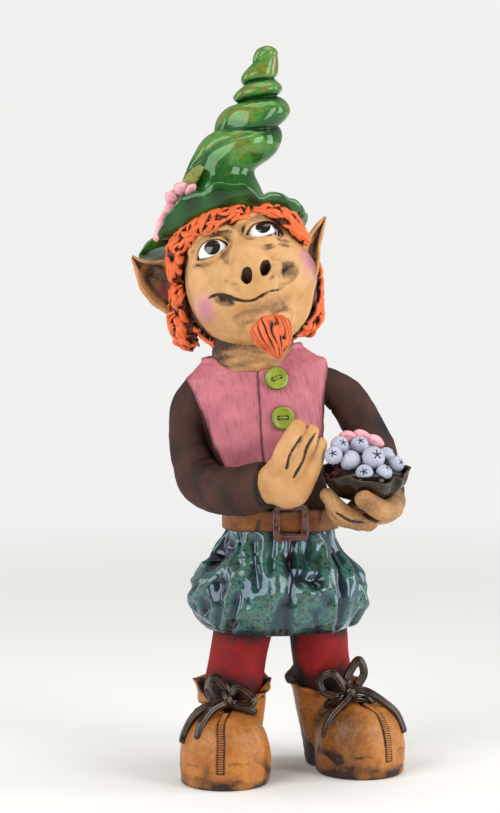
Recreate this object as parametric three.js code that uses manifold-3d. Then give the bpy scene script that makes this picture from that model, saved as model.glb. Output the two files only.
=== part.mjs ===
// A hand-built pottery gnome, about 39 cm tall, in millimetres, +Z up, standing on Z = 0 and facing -Y.
// Each mesh is one piece of clay that is formed by itself and slipped onto its neighbour.
// The figure's own right side is at -X, which is the viewer's left.
import * as THREE from "three";
import { mergeVertices } from "three/addons/utils/BufferGeometryUtils.js";
import Module from "manifold-3d";

const wasm = await Module();
wasm.setup();

// Sizes that many pieces share
const JOIN_GAP = 0.3; // clearance left between two pieces of clay that touch
const FIGURE_X = 0.5; // the middle of the figure's outline, before it is centred
const FIGURE_Y = -5.5;

// Shoes
const TOE_HALF_WIDTH = 24.2;
const TOE_HALF_LENGTH = 24.5;
const TOE_HEIGHT = 38;
const TOE_REACH = 24; // from the ankle's axis to the middle of the toe
const SHAFT_FOOT_RADIUS = 14.5;
const SHAFT_TOP_RADIUS = 18.5;
const SHAFT_HEIGHT = 45;
const CUFF_THICKNESS = 2.6;
const CUFF_HEIGHT = 9;
const LACE_RADIUS = 2;

// Stockings
const STOCKING_WALL = 2.3; // what a shoe's shaft leaves round the leg at its top
const STOCKING_RADIUS = SHAFT_TOP_RADIUS - STOCKING_WALL;
const STOCKING_SOCKET = 4; // how far a leg goes down into its shoe

// Breeches, belt and buckle
const HIPS = new THREE.Vector2(4.5, 4);
const BREECHES_FOOT = 79.5;
const BREECHES_TOP = 138.5;
const BREECHES_DEPTH_SHARE = 0.8; // front to back against side to side
const BREECHES_GATHERS = 12;
const BREECHES_FOLD = 2.2;
const BELT_HALF_WIDTH = 31.5;
const BELT_HALF_DEPTH = 25.5;
const BELT_HEIGHT = 12;
const BELT_THICKNESS = 2.6;
const BELT_FOOT = 132;
const BELT_RISE = 3.5; // how much higher it sits in front than at the sides
const BUCKLE_SIZE = 19;
const BUCKLE_OPENING = 11.5;
const BUCKLE_STRETCH = 1.08; // how much taller than wide it is
const BUCKLE_THICKNESS = 3.2;
const BUCKLE_X = 9.6;
const BUCKLE_Z = 140;

// Body, in a frame that leans from the waist
const WAIST = new THREE.Vector3(3, 4, 140);
const BODY_LEAN = THREE.MathUtils.degToRad(-9);
const VEST_THICKNESS = 2.6;
const VEST_HEM = 19; // height above the waist
const VEST_SLIT = 1.4;
const BUTTON_RADIUS = 6.4;
const BUTTON_THICKNESS = 2.6;
const BUTTON_X = 11.1;
const BUTTON_HEIGHTS = { upper: 75, lower: 54.2 };
const BUTTON_HOLE_RADIUS = 0.8;
const BUTTON_HOLE_SPACING = 4.4;

// Head, in a frame that tips back and leans
const HEAD_CENTRE = new THREE.Vector3(-12, 0, 267);
const HEAD_TIP_BACK = THREE.MathUtils.degToRad(22);
const HEAD_LEAN = THREE.MathUtils.degToRad(16);
const HEAD_TURN = THREE.MathUtils.degToRad(3);
const HEAD_RADII = new THREE.Vector3(34.5, 31, 38.5);
const EYEBALL_RADII = new THREE.Vector3(8.3, 5.8, 7);
const NOSTRIL_RADII = new THREE.Vector3(3, 6, 3.8);
const EAR_LENGTH = 36;
const EAR_HALF_WIDTH = 11.5;
const EAR_HALF_THICKNESS = 4.6;
const EAR_WALL = 2.4;

// Hat
const BRIM_INNER_RADIUS = 22;
const BRIM_BEND_RADIUS = 33;
const BRIM_THICKNESS = 3;
const CONE_FOOT = 34.5; // how far above the middle of the head the cone starts

// Dish and berries
const DISH_FOOT = new THREE.Vector3(48.5, -36, 154);
const DISH_RADIUS = 23;
const DISH_DEPTH = 14.5;
const DISH_WALL = 2.6;
const DISH_TILT = THREE.MathUtils.degToRad(9);

// Materials: what the clay wears after its last firing
function clay(color, roughness, metalness = 0) {
  return new THREE.MeshStandardMaterial({ color, roughness, metalness });
}
const FINISH = {
  skin: clay(0xc99a66, 0.6),
  shoe: clay(0xb87435, 0.5),
  lace: clay(0x2e231b, 0.15),
  stocking: clay(0x9c1a1c, 0.7),
  breeches: clay(0x2c5a48, 0.1),
  belt: clay(0xa06a36, 0.6),
  buckle: clay(0x6e2c20, 0.12),
  shirt: clay(0x33201d, 0.6),
  vest: clay(0xb0607a, 0.75),
  button: clay(0x9cb83a, 0.4),
  eye: clay(0xf4f2ee, 0.15),
  hair: clay(0xe8662f, 0.6),
  hat: clay(0x2f6b2a, 0.1),
  leaf: clay(0x7f8433, 0.6),
  blossom: clay(0xe7a2a6, 0.45),
  dish: clay(0x241f1a, 0.12),
  berry: clay(0xb4bad2, 0.4),
};

const v = (x, y, z) => new THREE.Vector3(x, y, z);
const union = (solids) => solids.reduce((joined, next) => joined.add(next));
const moved = (solid, matrix) => solid.transform(matrix.toArray());

// A solid from a closed geometry, with its faces turned outwards.
function solidOf(geometry) {
  const bare = new THREE.BufferGeometry();
  bare.setAttribute("position", geometry.getAttribute("position"));
  bare.setIndex(geometry.getIndex());
  const merged = mergeVertices(bare, 1e-4);
  const triVerts = new Uint32Array(merged.index.array);
  const vertProperties = merged.attributes.position.array;
  const build = () => new wasm.Manifold(new wasm.Mesh({ numProp: 3, vertProperties, triVerts }));
  const solid = build();
  if (solid.volume() >= 0) return solid;
  triVerts.reverse();
  return build();
}

// A skin over sections of points. A looped skin joins its last section to the first, and any other is
// closed on the middle of each end.
function skin(sections, looped = false) {
  const sides = sections[0].length;
  const points = sections.flat();
  const index = [];
  const spans = looped ? sections.length : sections.length - 1;
  for (let section = 0; section < spans; section++) {
    const next = (section + 1) % sections.length;
    for (let side = 0; side < sides; side++) {
      const beside = (side + 1) % sides;
      const a = section * sides + side;
      const b = section * sides + beside;
      const c = next * sides + beside;
      const d = next * sides + side;
      index.push(a, b, c, a, c, d);
    }
  }
  const ends = looped ? [] : [[0, true], [sections.length - 1, false]];
  for (const [section, first] of ends) {
    const middle = v(0, 0, 0);
    sections[section].forEach((p) => middle.addScaledVector(p, 1 / sides));
    const hub = points.push(middle) - 1;
    for (let side = 0; side < sides; side++) {
      const a = section * sides + side;
      const b = section * sides + ((side + 1) % sides);
      index.push(hub, ...(first ? [b, a] : [a, b]));
    }
  }
  const geometry = new THREE.BufferGeometry();
  const flat = new Float32Array(points.flatMap((p) => [p.x, p.y, p.z]));
  geometry.setAttribute("position", new THREE.BufferAttribute(flat, 3));
  geometry.setIndex(index);
  return solidOf(geometry);
}

// A smooth value between the numbers of an evenly spaced list.
function smooth(values, t) {
  const place = THREE.MathUtils.clamp(t, 0, 1) * (values.length - 1);
  const i = Math.min(Math.floor(place), values.length - 2);
  const f = place - i;
  const p1 = values[i];
  const p2 = values[i + 1];
  const p0 = i > 0 ? values[i - 1] : 2 * p1 - p2;
  const p3 = i + 2 < values.length ? values[i + 2] : 2 * p2 - p1;
  const bend = 2 * p0 - 5 * p1 + 4 * p2 - p3 + (3 * p1 - p0 - 3 * p2 + p3) * f;
  return p1 + 0.5 * f * (p2 - p0 + f * bend);
}

// Rings stacked upwards. Each level is [height, middle x, middle y, half width, half depth], and
// shape() swells a ring by its angle and its share of the height.
function stack(levels, { sides = 24, rings = 8, extra = 0, shape = () => 0 } = {}) {
  const made = [];
  for (let ring = 0; ring <= rings; ring++) {
    const t = ring / rings;
    const [z, x, y, rx, ry] = [0, 1, 2, 3, 4].map((k) => smooth(levels.map((l) => l[k]), t));
    const points = [];
    for (let side = 0; side < sides; side++) {
      const angle = (2 * Math.PI * side) / sides;
      const swell = extra + shape(angle, t);
      points.push(v(x + (rx + swell) * Math.cos(angle), y + (ry + swell) * Math.sin(angle), z));
    }
    made.push(points);
  }
  made[0].forEach((p) => (p.z -= extra));
  made[rings].forEach((p) => (p.z += extra));
  return skin(made);
}

// A roll of clay along a smooth line, with rounded ends. Its radius follows the list, flat squashes
// its section, and ribs groove it lengthwise.
function roll(line, radii, { sides = 8, steps = 8, flat = 1, extra = 0, ribs = 0, groove = 0 } = {}) {
  const curve = new THREE.CatmullRomCurve3(line, false, "centripetal");
  const frames = curve.computeFrenetFrames(steps, false);
  const section = (centre, step, radius) => {
    const points = [];
    for (let side = 0; side < sides; side++) {
      const angle = (2 * Math.PI * side) / sides;
      const r = radius * (1 - groove * (0.5 - 0.5 * Math.cos(ribs * angle)));
      const point = centre.clone().addScaledVector(frames.normals[step], r * Math.cos(angle));
      points.push(point.addScaledVector(frames.binormals[step], r * flat * Math.sin(angle)));
    }
    return points;
  };
  const cap = (end, sign) => {
    const radius = radii[end ? radii.length - 1 : 0] + extra;
    const step = end ? steps : 0;
    const centre = curve.getPointAt(end).addScaledVector(frames.tangents[step], sign * 0.7 * radius);
    return section(centre, step, 0.5 * radius);
  };
  const made = [cap(0, -1)];
  for (let step = 0; step <= steps; step++) {
    const t = step / steps;
    made.push(section(curve.getPointAt(t), step, smooth(radii, t) + extra));
  }
  made.push(cap(1, 1));
  return skin(made);
}

// An egg or ball of clay, turned about its middle.
function ball(centre, radii, { around = 12, rings = 8, extra = 0, turn = null } = {}) {
  const geometry = new THREE.SphereGeometry(1, around, rings);
  geometry.rotateX(Math.PI / 2);
  geometry.scale(radii.x + extra, radii.y + extra, radii.z + extra);
  if (turn) geometry.applyMatrix4(new THREE.Matrix4().makeRotationFromEuler(turn));
  geometry.translate(centre.x, centre.y, centre.z);
  return solidOf(geometry);
}

function block(low, high) {
  const size = high.clone().sub(low);
  const geometry = new THREE.BoxGeometry(size.x, size.y, size.z);
  geometry.translate(low.x + size.x / 2, low.y + size.y / 2, low.z + size.z / 2);
  return solidOf(geometry);
}

// Only the largest body of a cut solid, without the crumbs that the cut leaves.
function mainBody(solid) {
  return solid.decompose().reduce((big, next) => (next.volume() > big.volume() ? next : big));
}

// The whole figure, with the leaning body, the tipped head and each shoe in a group of its own
const figure = new THREE.Group();
const standing = new THREE.Group();
standing.position.set(-FIGURE_X, -FIGURE_Y, 0);
figure.add(standing);

const bodyFrame = new THREE.Matrix4().makeRotationY(BODY_LEAN).setPosition(WAIST);
const headFrame = new THREE.Matrix4()
  .makeRotationFromEuler(new THREE.Euler(-HEAD_TIP_BACK, -HEAD_LEAN, HEAD_TURN, "ZYX"))
  .setPosition(HEAD_CENTRE);
const toBody = bodyFrame.clone().invert();
const toHead = headFrame.clone().invert();

function groupAt(matrix) {
  const group = new THREE.Group();
  group.applyMatrix4(matrix);
  standing.add(group);
  return group;
}
const body = groupAt(bodyFrame);
const head = groupAt(headFrame);

// Adds one named piece to a group, cut clear of the neighbours that it is pressed against.
function place(parent, name, material, solid, neighbours = []) {
  const cut = neighbours.reduce((rest, neighbour) => rest.subtract(neighbour), solid);
  const source = mainBody(cut).getMesh();
  const geometry = new THREE.BufferGeometry();
  geometry.setAttribute("position", new THREE.BufferAttribute(source.vertProperties, 3));
  geometry.setIndex(new THREE.BufferAttribute(source.triVerts, 1));
  geometry.computeVertexNormals();
  const mesh = new THREE.Mesh(geometry, material);
  mesh.name = name;
  parent.add(mesh);
}

// Shoes: a rounded toe, a shaft that flares upwards and a torn cuff round its top

// The toe is a dome with nearly upright sides that tuck in at the sole.
function toe(extra = 0) {
  const steepness = [-0.22, 0.05, 0.3, 0.55, 0.8, 1.05, 1.3, 1.5];
  const foot = Math.sin(steepness[0]);
  const levels = steepness.map((angle) => {
    const share = Math.cos(angle) ** 0.8;
    const height = (TOE_HEIGHT * (Math.sin(angle) - foot)) / (1 - foot);
    return [height, 0, -TOE_REACH, TOE_HALF_WIDTH * share, TOE_HALF_LENGTH * share];
  });
  return stack(levels, { sides: 18, rings: 6, extra });
}

function shaft(lean, extra = 0) {
  const levels = [0, 0.5, 1].map((t) => {
    const radius = THREE.MathUtils.lerp(SHAFT_FOOT_RADIUS, SHAFT_TOP_RADIUS, t * t);
    return [SHAFT_HEIGHT * t, lean.x * t, lean.y * t, radius, radius];
  });
  return stack(levels, { sides: 14, rings: 2, extra });
}

// The cuff's torn upper edge rises and falls round the ankle, and lies lower in front.
function cuff(lean, seed) {
  const sections = [];
  const sides = 22;
  const inner = SHAFT_TOP_RADIUS - CUFF_THICKNESS;
  const rim = [
    [inner, 0, 0],
    [SHAFT_TOP_RADIUS, 0, 0],
    [SHAFT_TOP_RADIUS + 2.6, 1, 1],
    [inner + 1.6, 1, 1],
  ];
  for (let side = 0; side < sides; side++) {
    const angle = (2 * Math.PI * side) / sides;
    const torn = 0.7 + 0.2 * Math.sin(3 * angle + seed) + 0.14 * Math.sin(7 * angle + 2 * seed);
    const front = Math.max(0, -Math.sin(angle)) ** 2;
    const height = CUFF_HEIGHT * torn * (1 - 0.55 * front);
    const wander = 0.9 * Math.sin(5 * angle + seed);
    sections.push(
      rim.map(([radius, rise, loose]) => {
        const r = radius + loose * wander;
        const z = SHAFT_HEIGHT + JOIN_GAP + height * rise;
        return v(lean.x + r * Math.cos(angle), lean.y + r * Math.sin(angle), z);
      }),
    );
  }
  return skin(sections, true);
}

// Stockings run from under the breeches through the middle of each shaft's top into the shoes.
function stocking(foot, extra = 0) {
  const at = foot.ankle.clone().add(foot.lean);
  const mouth = v(at.x, at.y, SHAFT_HEIGHT);
  const low = foot.hip.clone().lerp(mouth, 1 + STOCKING_SOCKET / (foot.hip.z - SHAFT_HEIGHT));
  const levels = [0, 0.5, 1].map((t) => {
    const middle = low.clone().lerp(foot.hip, t);
    const radius = STOCKING_RADIUS - 0.4 * Math.sin(Math.PI * t);
    return [middle.z, middle.x, middle.y, radius, radius * 0.96];
  });
  return stack(levels, { sides: 16, rings: 2, extra });
}

// Each foot's lace lines are in the figure's frame: two loops, two tails, the turn round the instep.
const FEET = [
  {
    side: "right",
    ankle: new THREE.Vector2(-20, 3),
    turn: THREE.MathUtils.degToRad(-12), // how far the toe turns out
    lean: new THREE.Vector2(-1.5, -1), // how the shaft's top sits off its foot
    hip: v(-14.6, 0, BREECHES_FOOT + 7),
    seed: 0.4,
    lace: {
      knot: v(-23.5, -20.5, 44.5),
      loops: [
        [v(-24, -19, 44), v(-30.5, -20, 45), v(-34, -19, 50), v(-30.5, -17, 55.5), v(-23, -19, 48)],
        [v(-23, -19.5, 46), v(-18, -18, 50.5), v(-10, -20, 44), v(-14.5, -22.5, 40.5), v(-21, -22, 43)],
      ],
      tails: [
        [v(-24.5, -21, 44), v(-32, -23.5, 42.3), v(-41, -25, 36.5), v(-46, -26, 28), v(-47.6, -27, 22)],
        [v(-25, -23, 43), v(-32, -28, 40), v(-37.5, -33.5, 33.5), v(-39.5, -36, 26)],
      ],
      turnRound: [v(-41, -14, 36), v(-34, -19, 41), v(-24, -21.5, 42.5), v(-13, -20, 40), v(-6, -15, 35)],
    },
  },
  {
    side: "left",
    ankle: new THREE.Vector2(33.5, 23),
    turn: THREE.MathUtils.degToRad(37),
    lean: new THREE.Vector2(-4.5, -1.5),
    hip: v(24.3, 11, BREECHES_FOOT + 7),
    seed: 2.1,
    lace: {
      knot: v(43, -1, 44.5),
      loops: [
        [v(41.5, 0, 43.5), v(33, -1, 54.5), v(26.2, 1, 50), v(28.5, 0, 44), v(36, -1.5, 42)],
        [v(42, 0, 44.5), v(41, 1, 52), v(47, 3, 61), v(50, 3, 54), v(46.5, 1.5, 47)],
      ],
      tails: [
        [v(42.5, -2, 43.5), v(38.5, -4.5, 38.5), v(33, -6, 32.5), v(29.5, -6.5, 26), v(28.2, -7, 20.5)],
        [v(45, 0, 45.5), v(52, 0, 44), v(60.5, 0, 38.5), v(67.5, 0, 32), v(71.6, -1, 22)],
      ],
      turnRound: [v(24, 7, 33), v(30, 1, 38.5), v(41, -1.5, 41), v(52, 2, 39), v(60, 10, 33)],
    },
  },
];

// The bow: its loops, tails and the turn round the instep run into one knot.
function bow({ knot, loops, tails, turnRound }) {
  const sides = 4;
  return union([
    ...loops.map((line) => roll(line, [LACE_RADIUS, LACE_RADIUS], { sides, steps: 8 })),
    ...tails.map((line) => roll(line, [LACE_RADIUS, 1.1 * LACE_RADIUS], { sides, steps: 5 })),
    roll(turnRound, [LACE_RADIUS, LACE_RADIUS], { sides, steps: 5 }),
    ball(knot, v(3.6, 3.2, 3.4), { around: 6, rings: 5 }),
  ]);
}

for (const foot of FEET) {
  const frame = new THREE.Matrix4().makeRotationZ(foot.turn).setPosition(foot.ankle.x, foot.ankle.y, 0);
  const toShoe = frame.clone().invert();
  const lean = foot.lean.clone().rotateAround(new THREE.Vector2(), -foot.turn);
  const leg = moved(stocking(foot, JOIN_GAP), toShoe);
  const group = groupAt(frame);
  place(group, `${foot.side}_shoe`, FINISH.shoe, union([toe(), shaft(lean)]), [leg]);
  place(group, `${foot.side}_shoe_cuff`, FINISH.shoe, cuff(lean, foot.seed), [leg, toe(JOIN_GAP)]);

  const shoe = union([toe(JOIN_GAP), shaft(lean, JOIN_GAP), cuff(lean, foot.seed)]);
  const held = [moved(shoe, frame), stocking(foot, JOIN_GAP)];
  place(standing, `${foot.side}_shoe_lace`, FINISH.lace, bow(foot.lace), held);
  place(standing, `${foot.side}_stocking`, FINISH.stocking, stocking(foot));
}

// Breeches: a soft bulging drum, gathered at the waist and above the knees.
// Each level is height, middle x and half width.
const BREECHES_PROFILE = [
  [BREECHES_FOOT, 2.8, 37],
  [83, 2.9, 42.5],
  [90, 3.4, 46],
  [98, 4.3, 47.5],
  [106, 4.6, 46],
  [114, 4.6, 42.5],
  [122, 4.5, 35.5],
  [130, 4.5, 31],
  [BREECHES_TOP, 4.5, 29],
];
function breeches(extra = 0) {
  const levels = BREECHES_PROFILE.map(([z, x, halfWidth]) => {
    return [z, x, HIPS.y, halfWidth, BREECHES_DEPTH_SHARE * halfWidth];
  });
  const shape = (angle, t) => {
    return BREECHES_FOLD * Math.sqrt(Math.sin(Math.PI * t)) * Math.cos(BREECHES_GATHERS * angle + 3 * t);
  };
  return stack(levels, { sides: 3 * BREECHES_GATHERS, rings: 7, extra, shape });
}

// The belt is an oval band that rises towards the front.
function belt(extra = 0) {
  const sections = [];
  const sides = 24;
  for (let side = 0; side < sides; side++) {
    const angle = (2 * Math.PI * side) / sides;
    const foot = BELT_FOOT - BELT_RISE * Math.sin(angle);
    const corner = (inset, z) => {
      const x = HIPS.x + (BELT_HALF_WIDTH - inset) * Math.cos(angle);
      return v(x, HIPS.y + (BELT_HALF_DEPTH - inset) * Math.sin(angle), z);
    };
    const inner = BELT_THICKNESS + extra;
    const top = foot + BELT_HEIGHT + extra;
    const low = foot - extra;
    sections.push([corner(inner, low), corner(-extra, low), corner(-extra, top), corner(inner, top)]);
  }
  return skin(sections, true);
}

// The buckle is a nearly square frame that faces square to the belt.
function buckle() {
  const half = BUCKLE_SIZE / 2;
  const open = BUCKLE_OPENING / 2;
  const tall = half * BUCKLE_STRETCH;
  const openTall = open * BUCKLE_STRETCH;
  const plate = block(v(-half, -BUCKLE_THICKNESS, -tall), v(half, 0, tall));
  const hole = block(v(-open, -BUCKLE_THICKNESS - 1, -openTall), v(open, 1, openTall));
  const angle = Math.asin((BUCKLE_X - HIPS.x) / BELT_HALF_WIDTH);
  const front = HIPS.y - BELT_HALF_DEPTH * Math.cos(angle);
  const turn = new THREE.Matrix4().makeRotationZ(angle);
  turn.setPosition(BUCKLE_X, front - 0.6, BUCKLE_Z);
  return moved(plate.subtract(hole), turn);
}

// Body: a shirt under a sleeveless vest. Each level is the height above the waist, the half width and
// the half depth.
const TORSO_PROFILE = [
  [-2, 29, 23],
  [13, 28.5, 22.5],
  [28, 29.5, 23],
  [43, 31.5, 24],
  [58, 34.5, 23.5],
  [70, 37, 21],
  [80, 35.5, 17.5],
  [88, 25, 13],
];
function torso(extra = 0) {
  const levels = TORSO_PROFILE.map(([z, halfWidth, halfDepth]) => [z, 0, 0, halfWidth, halfDepth]);
  return stack(levels, { sides: 20, rings: 6, extra });
}
function neck(extra = 0) {
  const levels = [
    [206, -8.5, 3, 23, 17.5],
    [222, -9.5, 2, 22.5, 18],
    [244, -11, 1, 21.5, 18],
  ];
  return stack(levels, { sides: 16, rings: 2, extra });
}

// The vest has deep armholes, a scooped neck and a slit down its front.
const ARMHOLE = [v(41, 0, 86), v(36, 0, 72), v(32, 0, 58), v(30, 0, 44), v(24, 0, 26), v(22, 0, 10)];
function armhole(side, extra) {
  const outline = new THREE.Shape();
  outline.moveTo(60, ARMHOLE[0].z);
  ARMHOLE.forEach((p) => outline.lineTo(p.x + extra, p.z));
  outline.lineTo(60, ARMHOLE.at(-1).z);
  const cutter = new THREE.ExtrudeGeometry(outline, { depth: 80, bevelEnabled: false });
  cutter.rotateX(Math.PI / 2);
  cutter.translate(0, 40, 0);
  if (side < 0) cutter.rotateZ(Math.PI);
  return solidOf(cutter);
}
function vest(extra = 0) {
  const shell = torso(VEST_THICKNESS + extra).subtract(torso(JOIN_GAP - extra));
  const scoop = ball(v(1, -16, 98), v(24, 22, 18), { around: 16, rings: 9, extra: -extra });
  const below = block(v(-60, -60, -20), v(60, 60, VEST_HEM - extra));
  const slit = block(v(-VEST_SLIT / 2, -60, 0), v(VEST_SLIT / 2, 0, 100));
  const collar = moved(neck(2.2 - extra), toBody);
  return shell.subtract(union([armhole(1, extra), armhole(-1, extra), scoop, below, collar, slit]));
}

// A button is a disc with two sewing holes, set square to the vest.
function button(height) {
  const disc = new THREE.CylinderGeometry(BUTTON_RADIUS, BUTTON_RADIUS * 0.94, BUTTON_THICKNESS, 14);
  const holes = [-1, 1].map((side) => {
    const hole = new THREE.CylinderGeometry(BUTTON_HOLE_RADIUS, BUTTON_HOLE_RADIUS, 10, 6);
    hole.translate((side * BUTTON_HOLE_SPACING) / 2, 0, 0);
    return solidOf(hole);
  });
  const solid = solidOf(disc).subtract(union(holes));
  const above = TORSO_PROFILE.findIndex((level) => level[0] > height);
  const [low, high] = [TORSO_PROFILE[above - 1], TORSO_PROFILE[above]];
  const t = (height - low[0]) / (high[0] - low[0]);
  const halfWidth = THREE.MathUtils.lerp(low[1], high[1], t) + VEST_THICKNESS;
  const halfDepth = THREE.MathUtils.lerp(low[2], high[2], t) + VEST_THICKNESS;
  const angle = Math.asin(BUTTON_X / halfWidth);
  const slope = Math.atan((low[2] - high[2]) / (high[0] - low[0]));
  const turn = new THREE.Matrix4().makeRotationFromEuler(new THREE.Euler(-slope, 0, angle * 0.6, "ZYX"));
  turn.setPosition(BUTTON_X, -halfDepth * Math.cos(angle) - BUTTON_THICKNESS / 2 + 0.4, height);
  return moved(solid, turn);
}

// Arms: a sleeve roll to the wrist, and a hand of palm, thumb and fingers
function rightSleeve(extra = 0) {
  const line = [
    v(-33, 5, 213),
    v(-44, 4.5, 199),
    v(-45, 1, 178),
    v(-37, -12, 160),
    v(-20, -28, 157),
    v(-4, -38, 161),
  ];
  return roll(line, [10, 10.5, 11, 12.5, 13, 12.6], { sides: 10, steps: 8, extra });
}
function leftSleeve(extra = 0) {
  const line = [
    v(20, 6, 213),
    v(37, 5.5, 206),
    v(47, 3, 191),
    v(54.5, 1, 176),
    v(58, -5, 162),
    v(61, -22, 151),
  ];
  return roll(line, [10, 10.5, 11, 11.5, 11.5, 9.5], { sides: 10, steps: 8, extra });
}
function rightHand(extra = 0) {
  const options = { sides: 5, steps: 3, extra };
  return union([
    ball(v(7, -41, 165), v(14.5, 8, 15.5), { around: 12, rings: 7, extra }),
    roll([v(-6, -38, 161), v(4, -40, 164)], [10, 11], { sides: 8, steps: 1, extra }),
    roll([v(3, -45, 172), v(8, -46, 183), v(13, -43, 192)], [5.6, 5.2, 4.2], options),
    roll([v(10, -45, 168), v(15.5, -45, 180), v(20, -41, 189)], [5.4, 5, 4], options),
    roll([v(15.5, -42, 162), v(20.5, -42, 173), v(24, -39, 182.5)], [5.4, 5.2, 4.2], options),
    roll([v(4, -36, 174), v(10, -35, 181), v(16, -36, 184)], [4.8, 4.4, 3.8], options),
  ]);
}
function leftHand(extra = 0) {
  const options = { sides: 5, steps: 3, extra };
  return union([
    ball(v(53, -31, 147.5), v(15.5, 13, 7.5), { around: 12, rings: 7, extra }),
    roll([v(61, -23, 151), v(56, -29, 149)], [9, 9], { sides: 8, steps: 1, extra }),
    roll([v(49, -44, 143), v(38, -48, 146.5), v(28.4, -46, 157)], [5, 4.8, 3.8], options),
    roll([v(45, -37, 142), v(34, -40, 146), v(30, -37, 156)], [5, 4.6, 3.6], options),
    roll([v(43, -29, 143), v(35, -29, 146), v(32, -27, 154)], [4.8, 4.4, 3.4], options),
    roll([v(63, -36, 149.5), v(56, -50, 150), v(47, -57, 156.5)], [5.6, 5.6, 4.6], options),
  ]);
}

// The dish is a wavy leaf of clay that tips towards the front. Its profile runs up the outside and down
// the inside: share of the radius, share of the depth, and whether the point is outside.
const DISH_PROFILE = [
  [0.28, 0, true],
  [0.66, 0.22, true],
  [0.9, 0.6, true],
  [1, 1, true],
  [1, 1, false],
  [0.9, 0.62, false],
  [0.64, 0.3, false],
  [0.2, 0.2, false],
];
function dish(extra = 0) {
  const sides = 20;
  const sections = DISH_PROFILE.map(([share, height, outside]) => {
    const points = [];
    for (let side = 0; side < sides; side++) {
      const angle = (2 * Math.PI * side) / sides;
      const wave = 1.4 * Math.sin(3 * angle + 0.6) + 0.8 * Math.sin(5 * angle);
      const radius = DISH_RADIUS * share + wave * height + (outside ? extra : -DISH_WALL - extra);
      const rise = (DISH_DEPTH + 1.2 * Math.sin(2 * angle + 1)) * height;
      const z = rise + (outside ? -extra : extra);
      points.push(v(radius * Math.cos(angle), 0.86 * radius * Math.sin(angle), z));
    }
    return points;
  });
  const turn = new THREE.Matrix4().makeRotationX(DISH_TILT).setPosition(DISH_FOOT);
  return moved(skin(sections), turn);
}

// Berries heaped in the dish: middle and radius
const BERRIES = [
  [v(34.8, -37, 182.2), 4.9],
  [v(31.5, -44, 177.6), 4.8],
  [v(40.3, -42, 174.6), 5.6],
  [v(45.6, -30.2, 181.4), 4.9],
  [v(52.3, -42, 176.2), 6.1],
  [v(59.8, -27.7, 175.4), 4.9],
  [v(64.4, -34.5, 172), 4.6],
  [v(47.4, -48.6, 168.8), 4.7],
  [v(57.6, -46.8, 168.8), 4.4],
  [v(39.4, -24.3, 177), 4.9],
  [v(50.2, -23.3, 176.6), 4.9],
];
function berry([middle, radius], extra = 0) {
  return ball(middle, v(radius, radius, radius * 0.92), { around: 8, rings: 6, extra });
}

// The bed fills the dish and carries the berries: middle and radius of each lump on it.
const BED_LUMPS = [
  [v(40, -33, 171.5), 6.5],
  [v(48, -32, 171.5), 6.5],
  [v(56, -33, 169.5), 6.5],
  [v(45, -41, 166.5), 6],
  [v(54, -41, 166), 6],
];
function berryBed() {
  const filling = ball(v(48.5, -35.5, 164), v(21, 18, 8), { around: 10, rings: 6 });
  const lumps = BED_LUMPS.map(([middle, r]) => ball(middle, v(r, r, r), { around: 6, rings: 5 }));
  return union([filling, ...lumps]);
}
function dishBlossom() {
  return union([
    ball(v(39.6, -26, 185.8), v(4.4, 3, 3.2), { around: 7, rings: 5 }),
    ball(v(47, -24, 185.6), v(5.2, 3, 3.4), { around: 7, rings: 5 }),
    ball(v(54.2, -24, 183), v(4.8, 3, 3.4), { around: 7, rings: 5 }),
  ]);
}

place(standing, "breeches", FINISH.breeches, breeches(), [
  ...FEET.map((foot) => stocking(foot, JOIN_GAP)),
  belt(JOIN_GAP),
]);
place(standing, "belt", FINISH.belt, belt());
place(standing, "buckle", FINISH.buckle, buckle(), [belt(JOIN_GAP)]);

const waistKept = union([belt(JOIN_GAP), breeches(JOIN_GAP)]);
place(body, "shirt", FINISH.shirt, torso(), [moved(waistKept, toBody), moved(neck(JOIN_GAP), toBody)]);
place(body, "vest", FINISH.vest, vest());
for (const [name, height] of Object.entries(BUTTON_HEIGHTS)) {
  const held = [torso(VEST_THICKNESS + JOIN_GAP), moved(neck(JOIN_GAP), toBody)];
  place(body, `${name}_button`, FINISH.button, button(height), held);
}

const bodyKept = moved(union([torso(JOIN_GAP), vest(JOIN_GAP)]), bodyFrame);
place(standing, "right_sleeve", FINISH.shirt, rightSleeve(), [bodyKept, rightHand(JOIN_GAP), waistKept]);
place(standing, "left_sleeve", FINISH.shirt, leftSleeve(), [bodyKept, leftHand(JOIN_GAP), waistKept]);
place(standing, "right_hand", FINISH.skin, rightHand(), [bodyKept]);
place(standing, "left_hand", FINISH.skin, leftHand(), [bodyKept]);
const handsKept = [leftHand(JOIN_GAP), rightHand(JOIN_GAP)];
place(standing, "dish", FINISH.dish, dish(), [...handsKept, leftSleeve(JOIN_GAP)]);
BERRIES.forEach((one, i) => {
  const before = BERRIES.slice(0, i).map((other) => berry(other, JOIN_GAP));
  place(standing, `berry_${i + 1}`, FINISH.berry, berry(one), [...before, dish(JOIN_GAP), ...handsKept]);
});
const heap = BERRIES.map((other) => berry(other, JOIN_GAP));
place(standing, "berry_bed", FINISH.dish, berryBed(), [dish(JOIN_GAP), ...heap, ...handsKept]);
const heapKept = [...heap, moved(berryBed(), new THREE.Matrix4().makeTranslation(0, 0, JOIN_GAP))];
place(standing, "dish_blossom", FINISH.blossom, dishBlossom(), heapKept);

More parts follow.
